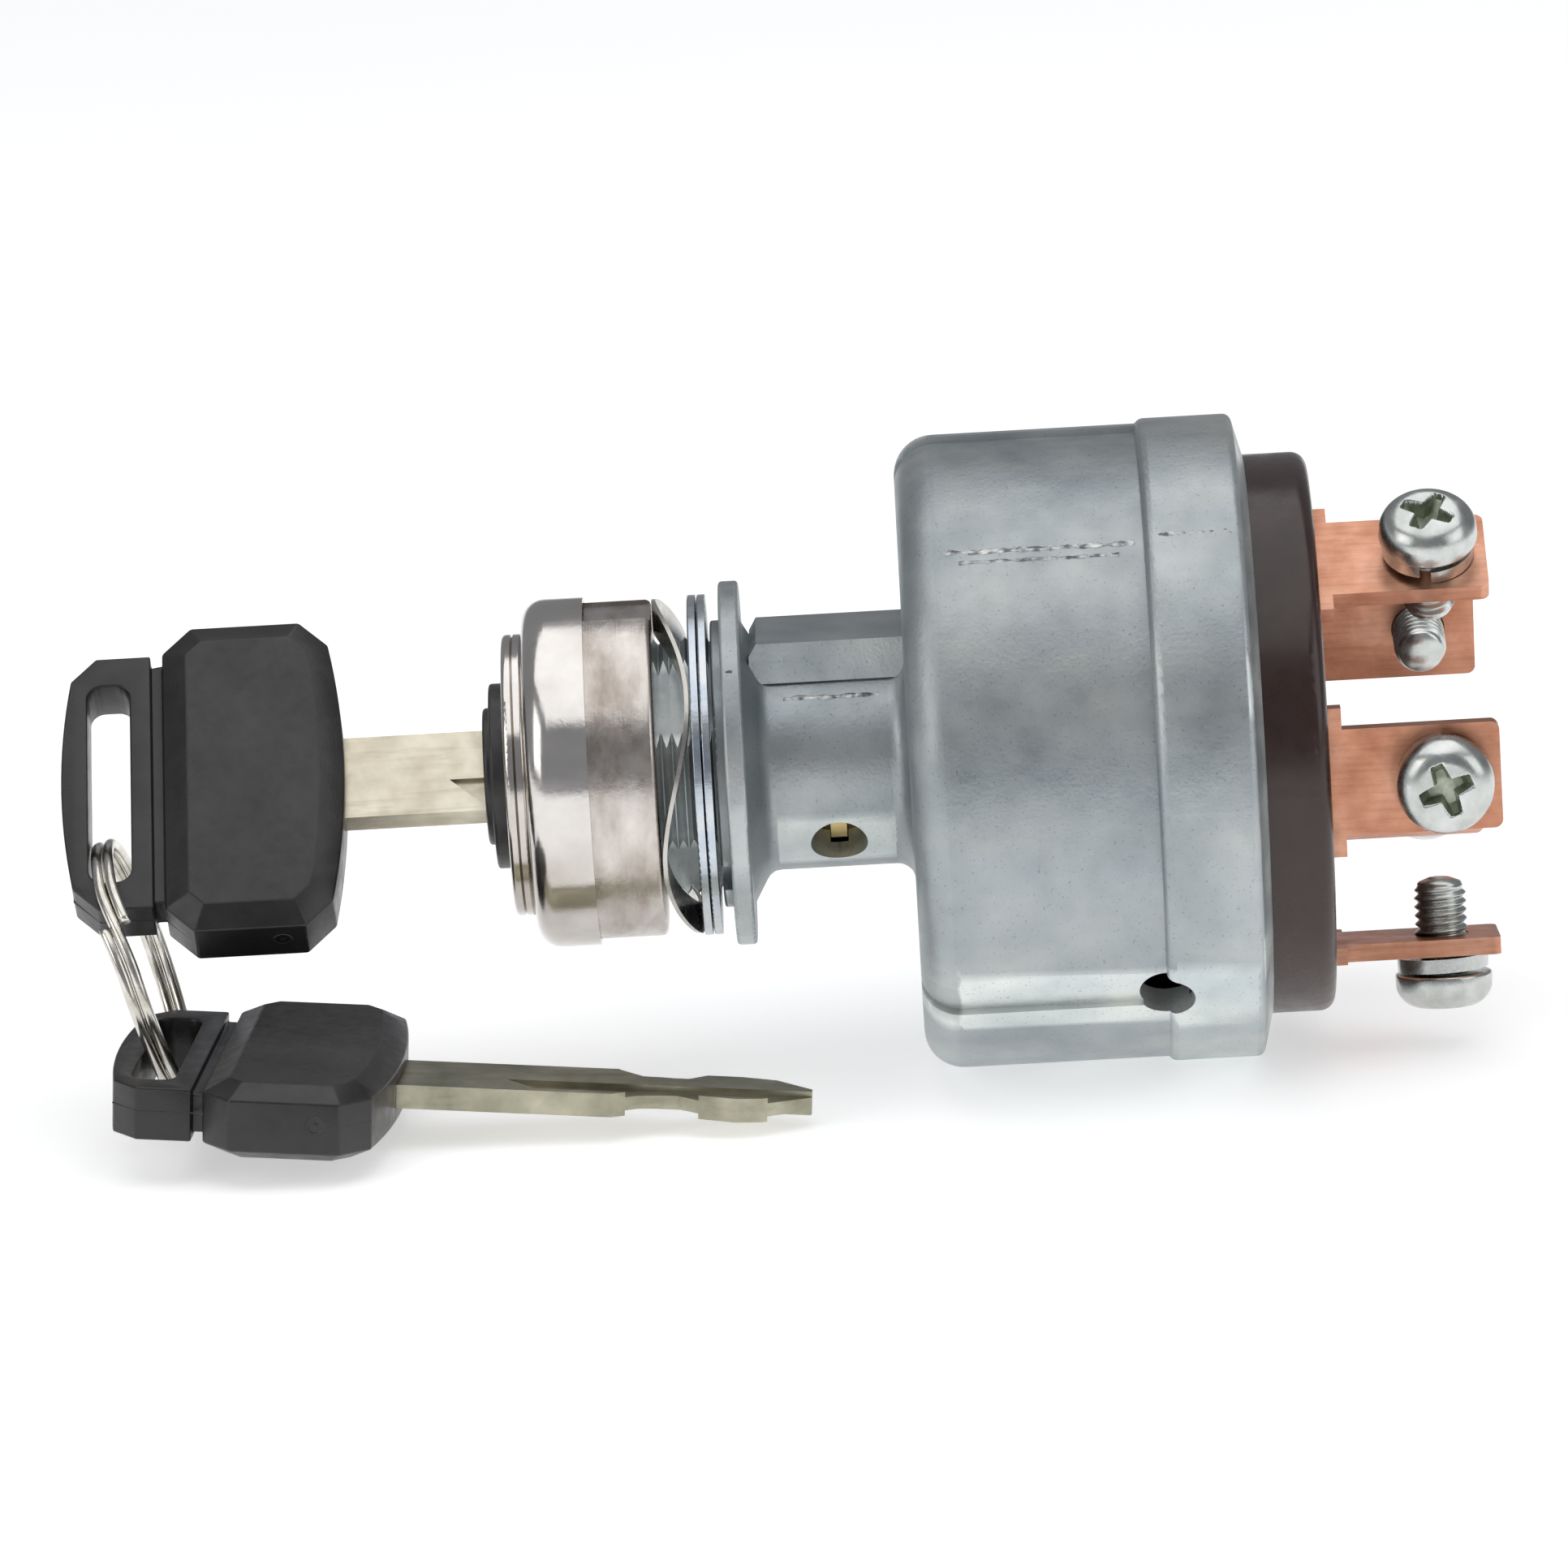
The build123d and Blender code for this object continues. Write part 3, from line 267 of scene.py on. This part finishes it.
def flash_strip(name, angle, profile, width, seed):
    """A torn ridge along (station, radius) points at one row angle, all in millimetres."""
    middle = radians(angle)
    strip = bmesh.new()
    rows = []
    for (y0, r0), (y1, r1) in zip(profile, profile[1:]):
        steps = max(2, int(abs(y1 - y0) / 0.35))
        for step in range(steps):
            share = step / steps
            y, r = y0 + (y1 - y0) * share, r0 + (r1 - r0) * share
            torn = noise.noise(Vector((y * 0.9, seed, 0.0)))
            fine = noise.noise(Vector((y * 3.7, seed, 5.0)))
            crest = max(0.05, 0.12 + 0.12 * torn + 0.10 * fine)
            half = width * (0.42 + 0.35 * torn) / 2
            lean = 0.18 * noise.noise(Vector((y * 0.35, seed, 9.0)))
            row = []
            for across, height in (
                (-half - 0.10, -0.06),
                (-half, crest * 0.7),
                (half * 0.1, crest),
                (half, crest * 0.55),
                (half + 0.10, -0.06),
            ):
                bearing = middle + (across + lean) / r
                reach = (r + height) / 1000
                row.append(strip.verts.new((reach * cos(bearing), y / 1000, reach * sin(bearing))))
            rows.append(row)
    for first, second in zip(rows, rows[1:]):
        for number in range(len(first) - 1):
            strip.faces.new((first[number], first[number + 1], second[number + 1], second[number]))
    for end in (rows[0], rows[-1]):
        strip.faces.new(end)
    bmesh.ops.recalc_face_normals(strip, faces=strip.faces)
    mesh = bpy.data.meshes.new(name)
    strip.to_mesh(mesh)
    strip.free()
    ridge = bpy.data.objects.new(name, mesh)
    mesh.materials.append(torn_zinc)
    bpy.context.scene.collection.objects.link(ridge)
    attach(ridge, "housing")
    return ridge


flash_strip("can_parting_ridge", 52.0, ((21.0, 28.87), (39.0, 28.87)), 1.1, 2.0)
flash_strip("can_second_ridge", 49.6, ((22.5, 28.87), (37.5, 28.87)), 0.7, 11.0)
flash_strip("lip_parting_ridge", 52.0, ((40.6, 29.90), (47.4, 29.90)), 1.0, 4.0)
flash_strip("neck_parting_ridge", 47.0, ((5.6, 10.20), (14.8, 10.20)), 0.8, 7.0)
flash_strip("flange_parting_ridge", 43.0, ((0.35, 16.92), (1.50, 16.92)), 0.8, 6.0)

# ---- Panel washers ----
# Two flat washers and a three-wave spring washer on the neck, stamped from sheet steel.
# The flat ones are bright blue zinc, the spring one plain plated spring steel.
blue_zinc, tree, shader, place = surface("blue_zinc_plate", metallic=1.0)
tree.links.new(
    shades(
        tree,
        grain(tree, place, 240.0, detail=5.0),
        (0.35, (0.50, 0.56, 0.64)),
        (0.55, (0.62, 0.66, 0.70)),
        (0.72, (0.72, 0.71, 0.68)),
    ),
    shader.inputs["Base Color"],
)
tree.links.new(spread(tree, grain(tree, place, 800.0), 0.20, 0.34), shader.inputs["Roughness"])
raised(tree, shader, grain(tree, place, 1500.0, stretch=(1.0, 0.2, 1.0)), 0.00002)
finish(blue_zinc, "rear_flat_washer", "front_flat_washer")

plated_spring, tree, shader, place = surface("plated_spring_steel", metallic=1.0)
tree.links.new(
    shades(
        tree,
        grain(tree, place, 190.0, detail=5.0),
        (0.35, (0.48, 0.46, 0.42)),
        (0.68, (0.66, 0.64, 0.60)),
    ),
    shader.inputs["Base Color"],
)
tree.links.new(spread(tree, grain(tree, place, 600.0), 0.20, 0.32), shader.inputs["Roughness"])
raised(tree, shader, grain(tree, place, 2100.0, stretch=(0.3, 1.0, 0.3)), 0.00002)
finish(
    plated_spring,
    "wave_washer",
    "return_spring",
    "detent_springs",
    "contact_springs",
    "wafer_springs",
    "retainer_spring",
    "shaft_clip",
    "detent_plate",
)

# ---- Bezel ----
# A turned nut screwed on the neck, a pressed shell staked over its front, and a plate inside it.
# All three are nickel and chrome plated; the nut's side keeps the fine lines of its turning.
turned_plate, tree, shader, place = surface("plated_turning", metallic=1.0)
tree.links.new(
    shades(
        tree,
        grain(tree, place, 130.0, detail=6.0, stretch=(1.0, 2.2, 1.0)),
        (0.32, (0.36, 0.31, 0.27)),
        (0.50, (0.56, 0.51, 0.47)),
        (0.70, (0.74, 0.70, 0.66)),
    ),
    shader.inputs["Base Color"],
)
tree.links.new(
    spread(tree, grain(tree, place, 420.0, detail=5.0), 0.20, 0.36), shader.inputs["Roughness"]
)
tool_lines = raised(tree, shader, grain(tree, place, 900.0, stretch=(0.15, 4.0, 0.15)), 0.000022)
raised(tree, shader, grain(tree, place, 1300.0, detail=5.0), 0.000030, before=tool_lines)
finish(turned_plate, "bezel_nut")

chrome_plate, tree, shader, place = surface("chrome_plate", metallic=1.0)
tree.links.new(
    shades(
        tree,
        grain(tree, place, 75.0, detail=6.0),
        (0.35, (0.54, 0.50, 0.46)),
        (0.65, (0.76, 0.73, 0.70)),
    ),
    shader.inputs["Base Color"],
)
tree.links.new(
    spread(tree, grain(tree, place, 500.0, detail=6.0, stretch=(1.0, 0.4, 1.0)), 0.11, 0.22),
    shader.inputs["Roughness"],
)
raised(tree, shader, grain(tree, place, 1800.0, detail=3.0), 0.000008)
finish(chrome_plate, "bezel_shell", "bezel_plate")

# ---- Lock ----
# The barrel is machined brass with its wafers and retainer; a black moulded face closes its front.
# The face has a raised disc round the keyway, and a rubber lip in the keyway keeps dust out.
machined_brass, tree, shader, place = surface("machined_brass", metallic=1.0)
tree.links.new(
    shades(
        tree,
        grain(tree, place, 200.0, detail=5.0),
        (0.35, (0.58, 0.42, 0.18)),
        (0.65, (0.74, 0.58, 0.28)),
    ),
    shader.inputs["Base Color"],
)
tree.links.new(spread(tree, grain(tree, place, 500.0), 0.24, 0.38), shader.inputs["Roughness"])
raised(tree, shader, grain(tree, place, 900.0, stretch=(0.2, 4.0, 0.2)), 0.00002)
finish(machined_brass, "lock_barrel", "tumbler_wafers", "retainer")

black_moulding, tree, shader, place = surface("black_moulding", coat=0.12)
tree.links.new(
    shades(
        tree,
        grain(tree, place, 320.0, detail=6.0),
        (0.35, (0.020, 0.019, 0.020)),
        (0.70, (0.036, 0.034, 0.034)),
    ),
    shader.inputs["Base Color"],
)
tree.links.new(spread(tree, grain(tree, place, 900.0), 0.34, 0.50), shader.inputs["Roughness"])
raised(tree, shader, grain(tree, place, 3200.0, detail=2.0), 0.000014)
finish(black_moulding, "plug_face")

black_rubber, tree, shader, place = surface("black_rubber")
tree.links.new(
    shades(tree, grain(tree, place, 700.0), (0.3, (0.010, 0.010, 0.011)), (0.7, (0.024, 0.023, 0.023))),
    shader.inputs["Base Color"],
)
tree.links.new(spread(tree, grain(tree, place, 1500.0), 0.62, 0.82), shader.inputs["Roughness"])
raised(tree, shader, grain(tree, place, 2400.0), 0.00002)
finish(black_rubber, "keyway_seal", "base_gasket")

# ---- Drive ----
# A turned steel shaft carries the key's turn to a moulded rotor in the can; two steel balls click
# in a stamped track, and hardened washers take the thrust.
turned_steel, tree, shader, place = surface("turned_steel", metallic=1.0)
tree.links.new(
    shades(tree, grain(tree, place, 260.0), (0.35, (0.46, 0.46, 0.46)), (0.65, (0.60, 0.60, 0.59))),
    shader.inputs["Base Color"],
)
tree.links.new(spread(tree, grain(tree, place, 700.0), 0.22, 0.36), shader.inputs["Roughness"])
raised(tree, shader, grain(tree, place, 1100.0, stretch=(0.2, 4.0, 0.2)), 0.00002)
finish(turned_steel, "drive_shaft", "thrust_washer", "detent_balls")

rotor_moulding, tree, shader, place = surface("rotor_moulding")
tree.links.new(
    shades(
        tree,
        grain(tree, place, 300.0),
        (0.35, (0.070, 0.050, 0.040)),
        (0.65, (0.110, 0.080, 0.062)),
    ),
    shader.inputs["Base Color"],
)
tree.links.new(spread(tree, grain(tree, place, 800.0), 0.40, 0.56), shader.inputs["Roughness"])
raised(tree, shader, grain(tree, place, 1600.0), 0.00003)
finish(rotor_moulding, "contact_rotor")

# ---- Key blades ----
# Nickel silver, stamped and milled: pale on the key in the lock, duller and greener on the spare.
# Fine milling lines run along the flats and the cuts, with handling scratches over them.
def nickel_silver(name, dark, light, low, high):
    """Worn nickel silver between two shades, with milling lines along the blade."""
    metal, tree, shader, place = surface(name, metallic=1.0)
    cloud = shades(tree, grain(tree, place, 170.0, detail=6.0), (0.32, dark), (0.66, light))
    scratch = shades(
        tree,
        grain(tree, place, 700.0, detail=3.0, stretch=(1.0, 0.10, 1.0)),
        (0.34, (0.80, 0.79, 0.76)),
        (0.50, (1.0, 1.0, 1.0)),
    )
    tree.links.new(multiplied(tree, cloud, scratch), shader.inputs["Base Color"])
    tree.links.new(
        spread(tree, grain(tree, place, 520.0, detail=5.0), low, high), shader.inputs["Roughness"]
    )
    lines = raised(tree, shader, grain(tree, place, 1500.0, stretch=(1.0, 0.08, 1.0)), 0.000022)
    raised(tree, shader, grain(tree, place, 1100.0, detail=5.0), 0.00002, before=lines)
    return metal


finish(
    nickel_silver("pale_nickel_silver", (0.56, 0.51, 0.40), (0.74, 0.69, 0.56), 0.32, 0.48),
    "key_blade",
)
finish(
    nickel_silver("worn_nickel_silver", (0.30, 0.29, 0.21), (0.54, 0.515, 0.40), 0.32, 0.48),
    "spare_key_blade",
)

# ---- Key heads ----
# Black heads moulded over the blades' roots: a bevelled grip, a thin throat and a loop with a slot.
# The mould halves leave a fine line round the sides and a gate spot; the corners are rubbed smooth.
head_moulding, tree, shader, place = surface("head_moulding", coat=0.08)
worn = shades(
    tree,
    grain(tree, place, 110.0, detail=6.0),
    (0.32, (0.011, 0.010, 0.010)),
    (0.70, (0.022, 0.021, 0.020)),
)
tree.links.new(worn, shader.inputs["Base Color"])
tree.links.new(
    spread(tree, grain(tree, place, 620.0, detail=5.0), 0.28, 0.42), shader.inputs["Roughness"]
)
spark = raised(tree, shader, grain(tree, place, 3600.0, detail=2.0), 0.000020)
raised(tree, shader, grain(tree, place, 240.0, detail=3.0), 0.000020, before=spark)

rubbed_face, tree, shader, place = surface("rubbed_face")
tree.links.new(
    shades(
        tree,
        grain(tree, place, 150.0, detail=6.0),
        (0.32, (0.026, 0.024, 0.023)),
        (0.70, (0.044, 0.041, 0.039)),
    ),
    shader.inputs["Base Color"],
)
tree.links.new(spread(tree, grain(tree, place, 900.0), 0.42, 0.56), shader.inputs["Roughness"])
raised(tree, shader, grain(tree, place, 4200.0, detail=2.0), 0.000024)


def softened(node, name, radius, at):
    """A copy of a head with its edges rounded and its two broad faces rubbed matt."""
    form = bmesh.new()
    form.from_mesh(nodes[node].data)
    bmesh.ops.remove_doubles(form, verts=form.verts, dist=0.000002)
    bmesh.ops.dissolve_limit(form, angle_limit=radians(0.6), verts=form.verts, edges=form.edges)
    off_face = (at(0, 0, 1) - at(0, 0, 0)).normalized()
    for face in form.faces:
        height = (face.calc_center_median() - at(0, 0, 0)).dot(off_face)
        face.material_index = int(abs(face.normal.dot(off_face)) > 0.99 and abs(height) > 0.0034)
    mesh = bpy.data.meshes.new(name)
    form.to_mesh(mesh)
    form.free()
    mesh.materials.append(head_moulding)
    mesh.materials.append(rubbed_face)
    piece = bpy.data.objects.new(name, mesh)
    bpy.context.scene.collection.objects.link(piece)
    mesh.shade_smooth()
    rounding = piece.modifiers.new("rounded_edges", "BEVEL")
    rounding.width = radius
    rounding.segments = 3
    rounding.limit_method = "ANGLE"
    rounding.angle_limit = radians(20)
    rounding.use_clamp_overlap = True
    rounding.harden_normals = True
    return piece


def head_frame(origin, across, along):
    """Places a head's own measures, in millimetres, across it, along it and off its face."""
    across = Vector(across).normalized()
    along = Vector(along).normalized()
    face = across.cross(along)
    return lambda a, l, f: (Vector(origin) + across * a + along * l + face * f) / 1000


def mould_line(name, at, body):
    """The hair-thin ridge round a head's sides, where the mould parted."""
    outline = [
        (14.1, -1.35), (16.75, -4.0), (16.75, -14.2), (14.1, -16.88), (13.9, -18.02), (13.88, -23.1),
        (11.5, -25.55), (-11.5, -25.55), (-13.88, -23.1), (-13.9, -18.02), (-14.1, -16.88),
        (-16.75, -14.2), (-16.75, -4.0), (-14.1, -1.35),
    ]
    ridge = bmesh.new()
    rows = []
    for number, (a, l) in enumerate(outline):
        ahead = outline[min(number + 1, len(outline) - 1)]
        behind = outline[max(number - 1, 0)]
        run = Vector((ahead[0] - behind[0], ahead[1] - behind[1])).normalized()
        out_a, out_l = run.y, -run.x
        if out_a * a + out_l * (l + 11.0) < 0:
            out_a, out_l = -out_a, -out_l
        rows.append(
            [
                ridge.verts.new(at(a + out_a * lift, l + out_l * lift, 0.25 + off))
                for lift, off in ((-0.05, -0.09), (0.045, -0.03), (0.045, 0.03), (-0.05, 0.09))
            ]
        )
    for first, second in zip(rows, rows[1:]):
        for number in range(3):
            ridge.faces.new((first[number], first[number + 1], second[number + 1], second[number]))
        ridge.faces.new((first[3], first[0], second[0], second[3]))
    ridge.faces.new(rows[0])
    ridge.faces.new(rows[-1])
    bmesh.ops.recalc_face_normals(ridge, faces=ridge.faces)
    mesh = bpy.data.meshes.new(name)
    ridge.to_mesh(mesh)
    ridge.free()
    mesh.materials.append(head_moulding)
    line = bpy.data.objects.new(name, mesh)
    bpy.context.scene.collection.objects.link(line)
    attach(line, body)


def gate_spot(name, at, body):
    """The small round scar on a head's side where the plastic was fed in."""
    spot = bmesh.new()
    rings = []
    for radius, lift in (
        (0.95, -0.02),
        (0.88, 0.05),
        (0.70, 0.05),
        (0.62, 0.0),
        (0.34, 0.0),
        (0.22, 0.05),
    ):
        rings.append(
            [
                spot.verts.new(
                    at(
                        16.8 + lift,
                        -6.2 + radius * cos(2 * pi * n / 24),
                        0.3 + radius * sin(2 * pi * n / 24),
                    )
                )
                for n in range(24)
            ]
        )
    for outer, inner in zip(rings, rings[1:]):
        for n in range(24):
            spot.faces.new((outer[n], outer[(n + 1) % 24], inner[(n + 1) % 24], inner[n]))
    spot.faces.new(rings[-1])
    mesh = bpy.data.meshes.new(name)
    spot.to_mesh(mesh)
    spot.free()
    mesh.materials.append(head_moulding)
    scar = bpy.data.objects.new(name, mesh)
    bpy.context.scene.collection.objects.link(scar)
    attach(scar, body)


head_edge = 0.00032
lock_angle = radians(46.0)
spare_yaw, spare_pitch = radians(4.7), radians(-4.5)
heads = (
    (
        "key_head",
        "ignition_key",
        head_frame((0, -35.7, 0), (sin(lock_angle), 0, -cos(lock_angle)), (0, 1, 0)),
    ),
    (
        "spare_key_head",
        "spare_key",
        head_frame(
            (15.93, -31.49, -24.98),
            (cos(spare_yaw), -sin(spare_yaw), 0),
            (sin(spare_yaw) * cos(spare_pitch), cos(spare_yaw) * cos(spare_pitch), sin(spare_pitch)),
        ),
    ),
)
for node, body, at in heads:
    head = softened(node, node + "_moulding", head_edge, at)
    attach(head, body)
    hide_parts(node)
    mould_line(node + "_mould_line", at, body)
    gate_spot(node + "_gate_spot", at, body)

# ---- Split ring ----
# Two turns of bright nickel-plated spring wire, coiled flat on each other. Halfway the wire steps
# from one turn to the other, and its two cut ends lie one on each side of the step.
ring_nickel, tree, shader, place = surface("ring_nickel", metallic=1.0)
tree.links.new(
    shades(
        tree,
        grain(tree, place, 420.0, detail=5.0),
        (0.32, (0.52, 0.49, 0.43)),
        (0.55, (0.72, 0.70, 0.64)),
        (0.75, (0.82, 0.80, 0.76)),
    ),
    shader.inputs["Base Color"],
)
tree.links.new(spread(tree, grain(tree, place, 900.0), 0.13, 0.26), shader.inputs["Roughness"])
raised(tree, shader, grain(tree, place, 1900.0), 0.00001)

ring_tilt = radians(15.2)
ring_centre = Vector((4.85, -55.29, -15.66))
ring_axis = Vector((0, cos(ring_tilt), sin(ring_tilt)))
ring_rise = Vector((0, -sin(ring_tilt), cos(ring_tilt)))
wire_radius, coil_radius = 0.53, 12.3
step_angle, step_half = 36.0, 24.0


def coil_place(travel):
    """A point of the wire, from 0 at its first end to 720 degrees at its last."""
    side = 0.55
    if abs(travel - 360) < step_half:
        share = (travel - 360 + step_half) / (2 * step_half)
        shift = side * (3 * share**2 - 2 * share**3) * 2 - side
    elif travel < 360:
        shift = -side
    else:
        shift = side
    if travel < step_half:
        shift = -side - 0.55 * (1 - travel / step_half) ** 1.5
    if travel > 720 - step_half:
        shift = side + 0.55 * (1 - (720 - travel) / step_half) ** 1.5
    bearing = radians(step_angle - travel)
    outward = Vector((cos(bearing), 0, 0)) + ring_rise * sin(bearing)
    return ring_centre + outward * coil_radius + ring_axis * shift, outward


wire = bmesh.new()
rings = []
turn_steps = 260
around = 20
for step in range(turn_steps + 1):
    middle, outward = coil_place(720 * step / turn_steps)
    end_trim = 0.86 if step in (0, turn_steps) else 1.0
    rings.append(
        [
            wire.verts.new(
                (
                    middle
                    + (outward * cos(2 * pi * n / around) + ring_axis * sin(2 * pi * n / around))
                    * wire_radius
                    * end_trim
                )
                / 1000
            )
            for n in range(around)
        ]
    )
for first, second in zip(rings, rings[1:]):
    for n in range(around):
        wire.faces.new((first[n], first[(n + 1) % around], second[(n + 1) % around], second[n]))
for face in wire.faces:
    face.smooth = True
wire.faces.new(rings[0])
wire.faces.new(rings[-1])
bmesh.ops.recalc_face_normals(wire, faces=wire.faces)
ring_mesh = bpy.data.meshes.new("coiled_wire")
wire.to_mesh(ring_mesh)
wire.free()
ring_mesh.materials.append(ring_nickel)
coiled_wire = bpy.data.objects.new("coiled_wire", ring_mesh)
bpy.context.scene.collection.objects.link(coiled_wire)
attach(coiled_wire, "split_ring")
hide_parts("split_ring")

# ---- Terminal base ----
# A thick brown phenolic disc that closes the can, held by the crimped edge of its lip.
# It is pressed in a polished mould, so it is glossy, with faint swirls of its filler.
brown_phenolic, tree, shader, place = surface("brown_phenolic", coat=0.12)
tree.links.new(
    shades(
        tree,
        grain(tree, place, 120.0, detail=6.0),
        (0.30, (0.022, 0.0095, 0.0075)),
        (0.55, (0.032, 0.014, 0.011)),
        (0.75, (0.046, 0.021, 0.017)),
    ),
    shader.inputs["Base Color"],
)
tree.links.new(
    spread(tree, grain(tree, place, 500.0, detail=5.0), 0.22, 0.36), shader.inputs["Roughness"]
)
raised(tree, shader, grain(tree, place, 420.0, detail=4.0), 0.00002)
finish(brown_phenolic, "terminal_base")

# ---- Terminals ----
# Five flat blades stamped from copper strip and pressed through the base, with a screw hole near
# the end. They are brushed along their length.
bare_copper, tree, shader, place = surface("bare_copper", metallic=1.0)
metal_shade = shades(
    tree,
    grain(tree, place, 150.0, detail=6.0),
    (0.30, (0.46, 0.195, 0.115)),
    (0.52, (0.64, 0.315, 0.205)),
    (0.72, (0.80, 0.45, 0.32)),
)
brushing = shades(
    tree,
    grain(tree, place, 2400.0, detail=3.0, stretch=(1.0, 0.06, 1.0)),
    (0.34, (0.80, 0.74, 0.70)),
    (0.52, (1.0, 1.0, 1.0)),
)
tree.links.new(multiplied(tree, metal_shade, brushing, 0.5), shader.inputs["Base Color"])
tree.links.new(
    spread(tree, grain(tree, place, 480.0, detail=5.0), 0.30, 0.46), shader.inputs["Roughness"]
)
brush_lines = raised(tree, shader, grain(tree, place, 1500.0, stretch=(1.0, 0.08, 1.0)), 0.000024)
raised(tree, shader, grain(tree, place, 1000.0, detail=4.0), 0.00002, before=brush_lines)
finish(
    bare_copper,
    "terminal_1",
    "terminal_2",
    "terminal_3",
    "terminal_4",
    "terminal_5",
    "fixed_contacts",
    "contact_bridge",
)

# ---- Terminal screws ----
# Pan-head cross-recess screws with a split spring washer under each head, bright zinc plated.
# The recess holds a trace of greenish passivation, and it is coloured darker as painted shade inside
# the cross.
bright_zinc, tree, shader, place = surface("bright_zinc_plate", metallic=1.0)
tree.links.new(
    shades(
        tree,
        grain(tree, place, 330.0, detail=5.0),
        (0.32, (0.46, 0.48, 0.45)),
        (0.55, (0.62, 0.64, 0.62)),
        (0.75, (0.74, 0.75, 0.74)),
    ),
    shader.inputs["Base Color"],
)
tree.links.new(spread(tree, grain(tree, place, 700.0), 0.20, 0.34), shader.inputs["Roughness"])
raised(tree, shader, grain(tree, place, 1700.0), 0.000014)
finish(bright_zinc, "lock_washers")

# Painted shade: the recess colour is the greenish passivation made darker, to stand for the shadow
# inside the cross recess.
recess_zinc, tree, shader, place = surface("recess_zinc", metallic=0.85)
tree.links.new(
    shades(
        tree,
        grain(tree, place, 600.0, detail=4.0),
        (0.35, (0.22, 0.245, 0.185)),
        (0.65, (0.52, 0.55, 0.45)),
    ),
    shader.inputs["Base Color"],
)
tree.links.new(spread(tree, grain(tree, place, 800.0), 0.30, 0.48), shader.inputs["Roughness"])
raised(tree, shader, grain(tree, place, 1500.0), 0.00002)

screw_seat, screw_station = 23.3, 65.7
head_radius, head_tall, crown = 4.55, 3.28, 2.2
recess_reach, recess_half, recess_deep = 2.5, 0.95, 1.75


def head_height(x, y):
    """Height of the screw head's top over its seat, and the depth of the recess there."""
    out = max(0.0, (x * x + y * y) ** 0.5 - (head_radius - crown))
    dome = head_tall - crown + (max(0.0, crown * crown - out * out)) ** 0.5
    dome -= 0.22 * (x * x + y * y) / head_radius**2
    deep = 0.0
    for along, across in ((abs(x), abs(y)), (abs(y), abs(x))):
        half = recess_half - 0.14 * along
        side = min(1.0, max(0.0, (half - across) / 0.30))
        end = min(1.0, max(0.0, (recess_reach - along) / 1.25))
        deep = max(deep, recess_deep * side * min(1.0, 0.30 + end) if end > 0 else 0.0)
    return dome - deep, deep


def screw(name, angle, twist):
    """One terminal screw: rolled thread, flat seat and domed head, set in its terminal."""
    bearing = radians(angle)
    outward = Vector((cos(bearing), 0, sin(bearing)))
    along = Vector((0, 1, 0))
    seat = outward * screw_seat + along * screw_station
    side = along.cross(outward)
    form = bmesh.new()

    def at(x, y, height):
        """A vertex at a place over the seat, in millimetres."""
        return form.verts.new((seat + side * x + along * y + outward * height) / 1000)

    around = 96
    rings = [[], []]
    for n in range(around):
        turn_angle = 2 * pi * n / around
        rings[0].append(at(cos(turn_angle) * 1.0, sin(turn_angle) * 1.0, -8.9))
        rings[1].append(at(cos(turn_angle) * 1.9, sin(turn_angle) * 1.9, -8.55))
    rows = 120
    for row in range(rows + 1):
        height = -8.4 + 8.3 * row / rows
        ring = []
        for n in range(around):
            share = (height / 0.8 - n / around) % 1.0
            crest = min(1.0, max(0.0, 2.4 * (0.5 - abs(share - 0.5)) - 0.1))
            radius = 2.08 + 0.38 * crest * min(1.0, (height + 8.4) / 0.8)
            turn_angle = 2 * pi * n / around
            ring.append(at(cos(turn_angle) * radius, sin(turn_angle) * radius, height))
        rings.append(ring)
    for radius, height in ((2.5, 0.0), (4.3, 0.0), (4.5, 0.10), (4.55, 0.30)):
        rings.append(
            [
                at(cos(2 * pi * n / around) * radius, sin(2 * pi * n / around) * radius, height)
                for n in range(around)
            ]
        )
    for first, second in zip(rings, rings[1:]):
        for n in range(around):
            form.faces.new((first[n], first[(n + 1) % around], second[(n + 1) % around], second[n]))
    form.faces.new(rings[0])
    steps = 56
    outer = rings[-1]
    for step in range(1, steps):
        radius = head_radius * (1 - step / steps)
        ring = []
        for n in range(around):
            turn_angle = 2 * pi * n / around
            x, y = cos(turn_angle) * radius, sin(turn_angle) * radius
            height, deep = head_height(
                x * cos(twist) + y * sin(twist), y * cos(twist) - x * sin(twist)
            )
            ring.append((at(x, y, height), deep))
        for n in range(around):
            m = (n + 1) % around
            face = form.faces.new((outer[n], outer[m], ring[m][0], ring[n][0]))
            face.material_index = int(ring[m][1] > 0.15 and ring[n][1] > 0.15)
        outer = [vertex for vertex, deep in ring]
    form.faces.new(outer).material_index = 1
    bmesh.ops.recalc_face_normals(form, faces=form.faces)
    for face in form.faces:
        face.smooth = face.material_index == 0
    mesh = bpy.data.meshes.new(name)
    form.to_mesh(mesh)
    form.free()
    mesh.materials.append(bright_zinc)
    mesh.materials.append(recess_zinc)
    piece = bpy.data.objects.new(name, mesh)
    bpy.context.scene.collection.objects.link(piece)
    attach(piece, "housing")
    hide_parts("terminal_screws")


for number, (angle, twist) in enumerate(
    ((0.0, 0.35), (61.0, 1.05), (166.0, 0.75), (209.0, 0.15), (277.0, 1.30)), start=1
):
    screw(f"terminal_screw_{number}", angle, twist)
